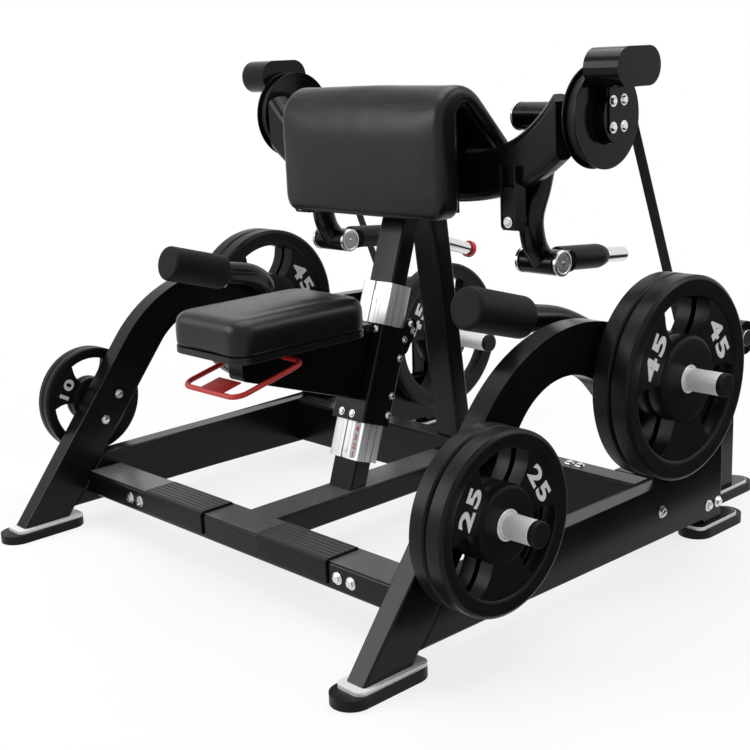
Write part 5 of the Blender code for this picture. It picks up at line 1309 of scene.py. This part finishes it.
# %% [markdown]
# ## The shoulder crossbar
# A wide flat tube smiles across the bench: its height rises with the fourth power of the
# distance from the middle, so that it is nearly level behind the pad and steep at the drums.
# Two bent brackets hold the pad's board, and a stop with a rubber bumper hangs behind each arm.

# %% Crossbar, brackets and stops
CROSSBAR_HALF, CROSSBAR_Y = 0.480, 0.790


def crossbar_z(x):
    return 0.850 + 0.126 * (abs(x) / CROSSBAR_HALF) ** 4


crossbar = bmesh.new()
stretch = 1.05
route = [Vector((x, CROSSBAR_Y, crossbar_z(x)))
         for x in [stretch * CROSSBAR_HALF * (2 * k / 72 - 1) for k in range(73)]]
carried(crossbar, route, rectangle((-0.030, -0.055), (0.030, 0.055), 0.022), AXIS_Y)
crossbar.normal_update()
for side in (1, -1):
    bmesh.ops.bisect_plane(crossbar, geom=list(crossbar.verts) + list(crossbar.edges)
                           + list(crossbar.faces), plane_co=(side * CROSSBAR_HALF, 0, 0),
                           plane_no=(side, 0, 0), clear_outer=True)
    rim = [edge for edge in crossbar.edges if edge.is_boundary]
    bmesh.ops.contextual_create(crossbar, geom=rim)
piece("crossbar_tube", crossbar, coat, nodes=["shoulder_crossbar"])

fittings = bmesh.new()
front = PAD_FRONT + PAD_THICKNESS + PAD_BOARD + 2 * GAP
depth = SLOPE_THICKNESS + PAD_BOARD + 2 * GAP
crest = line_meet((front, 0), math.pi / 2, slope_start(depth), -PAD_SLOPE)
tail = line_meet((CROSSBAR_Y, 0), math.pi / 2, slope_start(depth), -PAD_SLOPE)
outline = rounded([(front, 0.8225, 0), (CROSSBAR_Y, 0.8225, 0), (*tail, 0),
                   (*crest, BOARD_RADIUS - PAD_BOARD)])
slab(fittings, outline, "yz", 0.186, 0.194, 0.001)
ARM_X = 0.3565                    # the arms hang straight above their stops
stop_low = 0.745
for reach in (-0.022, 0.018):
    cheek = rounded([(0.745, stop_low, 0.015), (0.779, stop_low, 0.004),
                     (0.779, crossbar_z(ARM_X), 0), (0.745, crossbar_z(ARM_X), 0)])
    slab(fittings, cheek, "yz", ARM_X + reach, ARM_X + reach + 0.004, 0.0008)
beam(fittings, (ARM_X - 0.020, 0.747, stop_low + 0.002), (ARM_X + 0.020, 0.777, 0.840), "z", 0.003)
mirrored(fittings)
piece("crossbar_fittings", fittings, coat)

bumpers = bmesh.new()
bumper_z = 0.765
rod(bumpers, (ARM_X, 0.762, bumper_z), AXIS_Y, 0.0325, 0.014, 0.003, 40)
mirrored(bumpers)
piece("arm_stop_bumpers", bumpers, soft_rubber)
stop_bolts = bmesh.new()
bolt(stop_bolts, (ARM_X, 0.745, bumper_z), -AXIS_Y, 0.0085, 0.007)
mirrored(stop_bolts)
piece("arm_stop_bolts", stop_bolts, chrome, sharp=25)

# %% Bearing housings
DRUM = (0.872, 0.987)
for side_name, side in SIDES:
    housing = bmesh.new()
    tube(housing, (0.404, *DRUM), AXIS_X, 0.085, 0.042, 0.0178, 0.003)
    middle = crossbar_z(0.4465)
    beam(housing, (0.410, 0.8203, middle - 0.0252), (0.483, 0.840, middle + 0.042), "z", 0.003)
    piece(f"{side_name}_housing", housing, coat, nodes=[f"{side_name}_bearing_housing"], side=side)
    screws = bmesh.new()
    bolt(screws, (0.430, DRUM[0], DRUM[1] + 0.0415), AXIS_Z, 0.0045, 0.003)
    piece(f"{side_name}_housing_screw", screws, chrome, side=side, sharp=25)

# %% Band peg
PEG_AXIS = Vector((0, math.cos(math.radians(18)), -math.sin(math.radians(18))))
peg_face = Vector((0, upright_y(0.680, 0.050), 0.680))
peg = bmesh.new()
rod(peg, peg_face - PEG_AXIS * 0.001, PEG_AXIS, 0.110, 0.016, 0.001)
piece("band_peg_bar", peg, chrome, nodes=["band_peg"])
peg_ring = bmesh.new()
turned(peg_ring, eased([(0, 0.0155), (0, 0.021), (0.0125, 0.021), (0.0125, 0.006), (0.011, 0.0055),
                        (0.011, 0)], 0.002), peg_face + PEG_AXIS * 0.1078, PEG_AXIS)
piece("band_peg_ring", peg_ring, red)
peg_screw = bmesh.new()
rod(peg_screw, peg_face + PEG_AXIS * 0.117, PEG_AXIS, 0.0028, 0.005, 0.001, 24)
piece("band_peg_screw", peg_screw, chrome)

# %% [markdown]
# ## Curl arms
# Each arm hangs from an axle that also carries the drum and the counterweight.  The tube bends
# forward around the user's elbow and ends in a sleeve, where the grip swings.  The flanged drum
# is turned from a profile, and the counterweight is a long round-ended block above its boss.

# %% Arm tubes and axles
SLEEVE = (0.862, 0.662)
ARM_ROUTE = ((0.872, 0.972), (0.870, 0.900), (0.852, 0.835), (0.824, 0.768), (0.832, 0.708),
             (0.858, 0.668))
for side_name, side in SIDES:
    body = side_name + "_arm"
    curl = bmesh.new()
    carried(curl, smooth_route([Vector((ARM_X, y, z)) for y, z in ARM_ROUTE], 10),
            circle((0, 0), 0.0285, 40), AXIS_X)
    tube(curl, (0.2905, *DRUM), AXIS_X, 0.110, 0.0315, 0.0178, 0.002)
    tube(curl, (ARM_X - 0.0475, *SLEEVE), AXIS_X, 0.095, 0.029, 0.0103, 0.002)
    piece(f"{side_name}_curl_tube", curl, coat, body, [f"{side_name}_arm_tube"], side)
    axle_bar = bmesh.new()
    rod(axle_bar, (0.2852, *DRUM), AXIS_X, 0.245, 0.0175)
    piece(f"{side_name}_axle", axle_bar, chrome, body, [f"{side_name}_arm_shaft"], side)
    end_ring = bmesh.new()
    turned(end_ring, eased([(0, 0), (0, 0.022), (0.0015, 0.024), (0.0, 0.0265), (0, 0.033),
                            (0.005, 0.033), (0.005, 0)], 0.001), (0.2852, *DRUM), AXIS_X)
    piece(f"{side_name}_axle_ring", end_ring, pitted_chrome, body, side=side)
    set_screw = bmesh.new()
    away = Vector((0, -0.82, 0.57)).normalized()
    tube(set_screw, Vector((0.318, *DRUM)) + away * 0.0305, away, 0.0018, 0.0055, 0.0030, 0.0004)
    piece(f"{side_name}_set_screw", set_screw, coat, body, side=side)

# %% Drums, counterweights and their bolts
DRUM_START = 0.495
for side_name, side in SIDES:
    body = side_name + "_arm"
    drum = bmesh.new()
    turned(drum, eased([(0, 0.0178), (0, 0.112), (0.004, 0.112), (0.0045, 0.097), (0.0315, 0.097),
                        (0.032, 0.112), (0.036, 0.112), (0.036, 0.060), (0.0345, 0.056),
                        (0.0345, 0.0178), (0, 0.0178)], 0.0012)[1:-1], (DRUM_START, *DRUM), AXIS_X, 96)
    piece(f"{side_name}_flanged_drum", drum, enamel, body, [f"{side_name}_drum"], side)
    weight = bmesh.new()
    start = DRUM_START + 0.0363
    slab(weight, stadium((0.862, 1.090), (0.150, 0.082)), "yz", start, start + 0.088, 0.009, 5)
    slab(weight, circle(DRUM, 0.047, 64, 0.056 / 0.047), "yz", start, start + 0.025, 0.003)
    neck = rounded([(0.839, 1.015, 0), (0.905, 1.015, 0), (0.905, 1.075, 0), (0.839, 1.075, 0)])
    slab(weight, neck, "yz", start + 0.0003, start + 0.0247, 0.003)
    slab(weight, rectangle((0.840, 0.953), (0.899, 1.062), 0.012), "yz", start + 0.024,
         start + 0.0285, 0.002)
    piece(f"{side_name}_counterweight_block", weight, enamel, body, [f"{side_name}_counterweight"],
          side)
    heads = bmesh.new()
    for y, z in ((-0.020, 0.033), (0.017, 0.034), (-0.020, -0.022), (0.017, -0.021)):
        bolt(heads, (start + 0.0285, DRUM[0] + y, DRUM[1] + z), AXIS_X, 0.0085, 0.006)
    piece(f"{side_name}_counterweight_bolts", heads, chrome, body, side=side, sharp=25)

# %% [markdown]
# ## Belts
# A flat belt leaves each drum and goes down to a pin on the weight lever.  On the bench the belt
# keeps its length and winds on the drum, so it is made in three pieces: a turn on the drum that rides
# with the arm, a straight span that stays with the frame, and a loop on the pin that rides with the
# lever.

# %% Belts
ANCHOR = Vector((1.2476, 0.2747))
BELT_HALF, BELT_SKIN = 0.013, 0.0015     # half its width and half its thickness
drum_radius, pin_radius = 0.0988, 0.0098
span = ANCHOR - Vector(DRUM)
tangent_angle = math.atan2(span.y, span.x) + math.acos((drum_radius - pin_radius) / span.length)
away = Vector((math.cos(tangent_angle), math.sin(tangent_angle)))
belt_top = Vector(DRUM) + away * drum_radius
belt_foot = ANCHOR + away * pin_radius
run = (belt_foot - belt_top).normalized()
for side_name, side in SIDES:
    wrap = bmesh.new()
    inside, outside, width = drum_radius - BELT_SKIN, drum_radius + BELT_SKIN, 2 * BELT_HALF
    turned(wrap, [(0, inside), (0, outside - 0.0002), (0.0006, outside), (width - 0.0006, outside),
                  (width, outside - 0.0002), (width, inside)],
           (BELT_X - BELT_HALF, *DRUM), AXIS_X, 96)
    piece(f"{side_name}_belt_turn", wrap, webbing, side_name + "_arm", side=side)
    straight = bmesh.new()
    start, stop = belt_top - run * 0.010, belt_foot + run * 0.004
    count = 24
    line = [start.lerp(stop, k / count) for k in range(count + 1)]
    outline = [tuple(point + away * BELT_SKIN) for point in line]
    outline += [tuple(point - away * BELT_SKIN) for point in reversed(line)]
    slab(straight, outline, "yz", BELT_X - BELT_HALF, BELT_X + BELT_HALF)
    strap = piece(f"{side_name}_belt_span", straight, webbing, nodes=[f"{side_name}_belt"], side=side)
    strap.modifiers.clear()
    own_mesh(strap)
    loop = bmesh.new()
    tube(loop, (BELT_X - BELT_HALF, *ANCHOR), AXIS_X, width, 0.0114, 0.0083, 0.0005)
    clamp = [ANCHOR + away * 0.0114 - run * reach for reach in (0.002, 0.055)]
    outline = [tuple(clamp[0]), tuple(clamp[1]), tuple(clamp[1] - away * 0.0052),
               tuple(clamp[0] - away * 0.0085)]
    slab(loop, outline, "yz", BELT_X - BELT_HALF, BELT_X + BELT_HALF, 0.0005)
    piece(f"{side_name}_belt_loop", loop, webbing, side_name + "_lever", side=side)
print("belt span:", round((belt_foot - belt_top).length, 3), "m")

# %% [markdown]
# ## Grips
# A grip swings on a pin through the arm's sleeve.  Chrome caps close the sleeve, a yoke goes
# around its back, and a bar with a rubber sleeve and a bright tip points away from the user.

# %% Grips
GRIP_AXIS = Vector((0, math.cos(math.radians(5)), -math.sin(math.radians(5))))
for side_name, side in SIDES:
    body = side_name + "_grip"
    grip_start = Vector((ARM_X, SLEEVE[0] + 0.0385, SLEEVE[1]))
    yoke = bmesh.new()
    beam(yoke, (ARM_X - 0.0490, 0.8955, 0.6390), (ARM_X + 0.0490, 0.9055, 0.6850), "x", 0.002)
    cheek = tapered_bar(SLEEVE, 0.024, (0.8959, 0.662), 0.02398)
    for low in (ARM_X - 0.0523, ARM_X + 0.0478):
        slab(yoke, cheek, "yz", low, low + 0.0045, 0.0008)
    piece(f"{side_name}_grip_yoke", yoke, coat, body, [f"{side_name}_grip_bar"], side)
    caps = bmesh.new()
    cap = eased([(0, 0), (0, 0.027), (0.0012, 0.030), (0.0080, 0.030), (0.0092, 0.027),
                 (0.0092, 0.0235), (0.0084, 0.0225), (0.0084, 0)], 0.0008)
    turned(caps, cap, (ARM_X + 0.0512, *SLEEVE), AXIS_X)
    turned(caps, cap, (ARM_X - 0.0512, *SLEEVE), -AXIS_X)
    piece(f"{side_name}_grip_caps", caps, pitted_chrome, body, side=side)
    screw = bmesh.new()
    rod(screw, (ARM_X - 0.0600, *SLEEVE), AXIS_X, 0.120, 0.005, 0.0012, 24)
    piece(f"{side_name}_grip_cap_screws", screw, chrome, body, side=side)
    rubber_sleeve = bmesh.new()
    turned(rubber_sleeve, eased([(0, 0.0165), (0, 0.029), (0.150, 0.029), (0.168, 0.0245),
                                 (0.175, 0.0205), (0.175, 0.0165), (0, 0.0165)], 0.006, 5)[1:-1],
           grip_start + GRIP_AXIS * 0.010, GRIP_AXIS)
    piece(f"{side_name}_grip_rubber", rubber_sleeve, sleeve_rubber, body,
          [f"{side_name}_grip_sleeve"], side, sharp=60)
    tip_bar = bmesh.new()
    turned(tip_bar, eased([(0, 0), (0, 0.016), (0.1875, 0.016), (0.1875, 0.0185), (0.262, 0.0185),
                           (0.272, 0.0125), (0.275, 0.006), (0.275, 0)], 0.003, 4),
           grip_start, GRIP_AXIS)
    piece(f"{side_name}_grip_core", tip_bar, chrome, body, side=side, sharp=60)

# %% [markdown]
# ## Weight levers and horns
# The lever turns on the pivot column.  Its long bar carries the loading horn, and a short crank
# pulls the belt.  Horns are bright turned bars with a collar and a black end cap.

# %% Levers
for side_name, side in SIDES:
    body = side_name + "_lever"
    lever = bmesh.new()
    slab(lever, tapered_bar(PIVOT, 0.025, tuple(LOAD), 0.025), "yz", 0.5480, 0.5877, 0.004, 4)
    tube(lever, (0.5388, *PIVOT), AXIS_X, 0.0492, 0.042, 0.0128, 0.002)
    slab(lever, tapered_bar(PIVOT, 0.041, tuple(ANCHOR), 0.022), "yz", 0.5388, 0.5488, 0.0015)
    piece(f"{side_name}_lever_bar", lever, coat, body, [f"{side_name}_weight_lever"], side)
    anchor_pin = bmesh.new()
    rod(anchor_pin, (0.4970, *ANCHOR), AXIS_X, 0.0468, 0.008, 0.001, 32)
    rod(anchor_pin, (0.5488, *ANCHOR), AXIS_X, 0.0040, 0.012, 0.001, 32)
    piece(f"{side_name}_anchor_pin", anchor_pin, chrome, body, side=side)


# %% Horns
LOAD_COLLAR, STORAGE_COLLAR, REAR_COLLAR = 0.005, 0.027, 0.017
HORN_END, CAP_LENGTH, REAR_STORAGE = 0.835, 0.0142, (1.350, 0.300)


def horn(name, start, direction, length, collar, thickness, body, nodes, side):
    """A bright bar with its collar at a distance from the start, and a rubber cap."""
    bar = bmesh.new()
    rod(bar, start, direction, length - CAP_LENGTH + 0.0002, 0.0245, 0.001)
    piece(name + "_bar", bar, turned_steel, body, nodes, side)
    ring = bmesh.new()
    rod(ring, Vector(start) + direction * collar, direction, thickness, 0.042, 0.0015)
    piece(name + "_collar", ring, coat, body, side=side)
    cap = bmesh.new()
    rod(cap, Vector(start) + direction * (length - CAP_LENGTH), direction, CAP_LENGTH, 0.0250, 0.003)
    piece(name + "_cap", cap, soft_rubber, body, side=side)


lever_face, leg_face, column_face = 0.5880, OUTER_X + GAP, BELT_X - 0.025 - GAP
for side_name, side in SIDES:
    horn(f"{side_name}_loading_horn", (lever_face, *LOAD), AXIS_X, HORN_END - lever_face, 0.0585,
         LOAD_COLLAR, side_name + "_lever", [f"{side_name}_loading_horn"], side)
    horn(f"{side_name}_storage_horn", (leg_face, *STORAGE), AXIS_X, HORN_END - leg_face, 0.0,
         STORAGE_COLLAR, "frame", [f"{side_name}_storage_horn"], side)
horn("left_rear_storage", (column_face, *REAR_STORAGE), -AXIS_X, 0.238, 0.0, REAR_COLLAR, "frame",
     ["left_rear_storage_horn"], -1)


# %% [markdown]
# ## Weight plates
# A rubber grip plate has a thick rim, a round hub and three sunken sectors between three finger
# windows.  The rim and hub are turned; each sector is an outline between them.  The windows are
# what the sectors leave open.  Numbers are moulded on the two upper sectors, tops outward.

# %% Plate maker
def sector_outline(middle, half_angle, inner, outer):
    """A sector between hub and rim whose two sides curve in like a waist."""
    side_points = 9
    outline = []
    for k in range(25):
        angle = middle - half_angle + 2 * half_angle * k / 24
        outline.append((outer * math.sin(angle), outer * math.cos(angle)))
    for sign in (1, -1):
        radii = [outer - (outer - inner) * k / side_points for k in range(1, side_points)]
        if sign < 0:
            radii.reverse()
        for radius in radii:
            share = (radius - inner) / (outer - inner)
            waist = 0.10 * math.sin(math.pi * share) * half_angle + 0.12 * (1 - share) * half_angle
            angle = middle + sign * (half_angle - waist)
            outline.append((radius * math.sin(angle), radius * math.cos(angle)))
        if sign > 0:
            for k in range(13):
                angle = middle + half_angle * 0.88 * (1 - 2 * k / 12)
                outline.append((inner * math.sin(angle), inner * math.cos(angle)))
    return outline


PLATE_SHARE = 0.985               # a turned rim is rounder than the solid's, so it is drawn in


def weight_plate(name, node, radius, thickness, start, place, side, body, text, front):
    """A plate from start outwards along X; front says which faces carry numbers."""
    full = thickness
    radius = PLATE_SHARE * radius
    rim_in = 0.795 * radius
    hub = 0.43 * radius
    bore = 0.0253
    ease = min(0.22 * thickness, 0.008)
    plate = bmesh.new()
    half_rim = [(full / 2, radius), (full - ease * 0.95, radius), (full - ease * 0.70, radius * 0.998),
                (full - ease * 0.25, radius - ease * 0.55), (full - ease * 0.05, radius - ease * 1.0),
                (full, radius - ease * 1.3), (full - ease * 0.30, 0.850 * radius),
                (full - ease * 0.42, 0.822 * radius), (full - ease * 0.70, 0.806 * radius),
                (full - ease * 1.5, 0.798 * radius), (full / 2, rim_in)]
    rim = half_rim + [(full - x, r) for x, r in reversed(half_rim[1:-1])]
    turned(plate, rim, (start, *place), AXIS_X, 112)
    core = [(0, bore), (0, hub - ease * 1.4), (ease * 0.4, hub - ease * 0.4), (ease * 1.4, hub),
            (full - ease * 1.4, hub), (full - ease * 0.4, hub - ease * 0.4),
            (full, hub - ease * 1.4), (full, bore)]
    turned(plate, core, (start, *place), AXIS_X, 96)
    sink = 0.13 * thickness
    for turn in (-60, 60, 180):
        outline = sector_outline(math.radians(turn), math.radians(32), hub * 0.96, rim_in * 1.012)
        outline = [(place[0] + u, place[1] + v) for u, v in outline]
        slab(plate, outline, "yz", start + sink, start + full - sink, 0.0022, 3)
    piece(name, plate, plate_rubber, body, [node], side, sharp=35)
    insert = bmesh.new()
    tube(insert, (start - 0.0001, *place), AXIS_X, full + 0.0008, 0.0305, 0.02535, 0.0006)
    piece(name + "_bore_ring", insert, turned_steel, body, side=side)
    digits = bmesh.new()
    for turn in (-60, 60):
        angle = math.radians(turn)
        middle = 0.615 * radius
        for outward in front:
            x = start + (full - sink if outward > 0 else sink)
            seen = side * outward
            away = Vector((0, math.sin(angle), math.cos(angle)))
            across = away.cross(Vector((outward, 0, 0)))
            letters = numeral(text, 0.262 * radius, 1.62 * side, 0.0085 * radius, 1.14, 0.0007)
            if side < 0:
                bmesh.ops.reverse_faces(letters, faces=letters.faces)
            centre = Vector((x + outward * 0.0004, *place)) + away * middle
            stamp(digits, letters, centre, across, away)
    piece(name + "_numbers", digits, numeral_white, body, side=side)


# %% All plates
PLATE_45, PLATE_25, PLATE_10 = (0.2236, 0.0458, "45"), (0.181, 0.042, "25"), (0.140, 0.022, "10")
for side_name, side in SIDES:
    start = lever_face + 0.0585 + LOAD_COLLAR + GAP
    for index, layer in enumerate(("inner", "outer")):
        weight_plate(f"{side_name}_{layer}_loaded_plate", f"{side_name}_{layer}_load_plate",
                     *PLATE_45[:2], start + index * (PLATE_45[1] + GAP), LOAD, side,
                     side_name + "_plates", PLATE_45[2], (1,) if index else (-1,))
start = leg_face + STORAGE_COLLAR + GAP
for size, side, body in ((PLATE_25, 1, "stored_25"), (PLATE_10, -1, "stored_10")):
    for index, layer in enumerate(("inner", "outer")):
        weight_plate(f"spare_{size[2]}_plate_{layer}", f"stored_plate_{size[2]}_{layer}", *size[:2],
                     start + index * (size[1] + GAP), STORAGE, side, body, size[2],
                     (1,) if index else (-1,))
start = column_face - REAR_COLLAR - GAP - PLATE_45[1]
weight_plate("spare_45_plate", "stored_plate_45", *PLATE_45[:2], start, REAR_STORAGE, -1,
             "stored_45", PLATE_45[2], (-1, 1))
print("plates done:", len(pieces_made), "pieces")

# %% [markdown]
# ## Floor and light
# The photograph has no visible floor, only white, so the floor and the world show white to the
# camera and to mirror-like rays, while the lamps stay at a plain level.  Near the bench the floor
# keeps some of its real shading, which leaves a soft shadow under the feet.

# %% Floor
floor_shape = bmesh.new()
bmesh.ops.create_grid(floor_shape, x_segments=8, y_segments=8, size=14)
floor_mesh = bpy.data.meshes.new("studio_floor")
floor_shape.to_mesh(floor_mesh)
floor_shape.free()
floor = bpy.data.objects.new("studio_floor", floor_mesh)
floor.location.z = -0.0005
bpy.context.scene.collection.objects.link(floor)
floor_paint = Finish("floor_paint", "floor", Roughness=0.9, Metallic=0.0)
floor_paint.feed(Base_Color=floor_paint.colours(floor_paint.cloud(3, 3.0, 0.5), (0.86, 0.86, 0.86),
                                                (0.84, 0.84, 0.84)))
distance = floor_paint.node("ShaderNodeVectorMath", {"operation": "LENGTH"},
                            {0: floor_paint.place()}, output=1)
rays = floor_paint.node("ShaderNodeLightPath")
ray_node = rays.socket.node
camera_ray = Wire(floor_paint, ray_node.outputs["Is Camera Ray"])
glossy_ray = Wire(floor_paint, ray_node.outputs["Is Glossy Ray"])
passing_ray = Wire(floor_paint, ray_node.outputs["Is Transmission Ray"])
share = floor_paint.steps(distance, 0.9, 2.2) * 0.22 + 0.78
white = floor_paint.node("ShaderNodeEmission", {}, {"Color": (1, 1, 1, 1), "Strength": 1.0})
surface = Wire(floor_paint, floor_paint.shader.outputs[0])
blend = floor_paint.node("ShaderNodeMixShader", {},
                         {0: (camera_ray + glossy_ray + passing_ray) * share, 1: surface, 2: white})
output = floor_paint.tree.nodes["Material Output"]
floor_paint.tree.links.new(blend.socket, output.inputs["Surface"])
floor_mesh.materials.append(floor_paint.material)

# A matt black card lies beside the bench, where its right faces look at the floor.  Only
# reflections see it, so it deepens those faces and is never in the picture itself.
card_shape = bmesh.new()
slab(card_shape, rectangle((0.80, -0.55), (5.5, 5.0), 0.1), "xy", 0.001, 0.003)
card_mesh = bpy.data.meshes.new("black_card")
card_shape.to_mesh(card_mesh)
card_shape.free()
card = bpy.data.objects.new("black_card", card_mesh)
bpy.context.scene.collection.objects.link(card)
card.visible_camera = card.visible_diffuse = card.visible_shadow = False
card_paint = Finish("card_paint", "floor", Roughness=0.95, IOR=1.05)
card_paint.feed(Base_Color=card_paint.colours(card_paint.cloud(5), (0.02, 0.02, 0.02),
                                              (0.03, 0.03, 0.03)))
card_mesh.materials.append(card_paint.material)

# %% World and lamps
world = bpy.data.worlds.new("studio")
world.use_nodes = True
bpy.context.scene.world = world
tree = world.node_tree
background = tree.nodes["Background"]
path = tree.nodes.new("ShaderNodeLightPath")
strength = tree.nodes.new("ShaderNodeMix")
seen = path.outputs["Is Camera Ray"]
for kind in ("Is Glossy Ray", "Is Transmission Ray"):
    either = tree.nodes.new("ShaderNodeMath")
    either.operation = "MAXIMUM"
    tree.links.new(seen, either.inputs[0])
    tree.links.new(path.outputs[kind], either.inputs[1])
    seen = either.outputs[0]
tree.links.new(seen, strength.inputs["Factor"])
strength.inputs["A"].default_value = 0.42
strength.inputs["B"].default_value = 1.0
tree.links.new(strength.outputs["Result"], background.inputs["Strength"])
background.inputs["Color"].default_value = (1, 1, 1, 1)


def softbox(name, place, aim, size, power):
    light = bpy.data.lights.new(name, "AREA")
    light.shape = "RECTANGLE"
    light.size, light.size_y = size
    light.energy = power
    lamp = bpy.data.objects.new(name, light)
    lamp.location = place
    lamp.rotation_euler = (Vector(aim) - Vector(place)).to_track_quat("-Z", "Y").to_euler()
    bpy.context.scene.collection.objects.link(lamp)


softbox("overhead", (0.0, 0.3, 3.4), (0, 0, 0.4), (3.0, 3.0), 90)
softbox("front_left", (-1.9, -3.0, 2.1), (0, 0, 0.5), (2.0, 2.0), 60)
softbox("rear_right", (2.8, 2.2, 2.4), (0, 0, 0.5), (1.2, 2.0), 30)
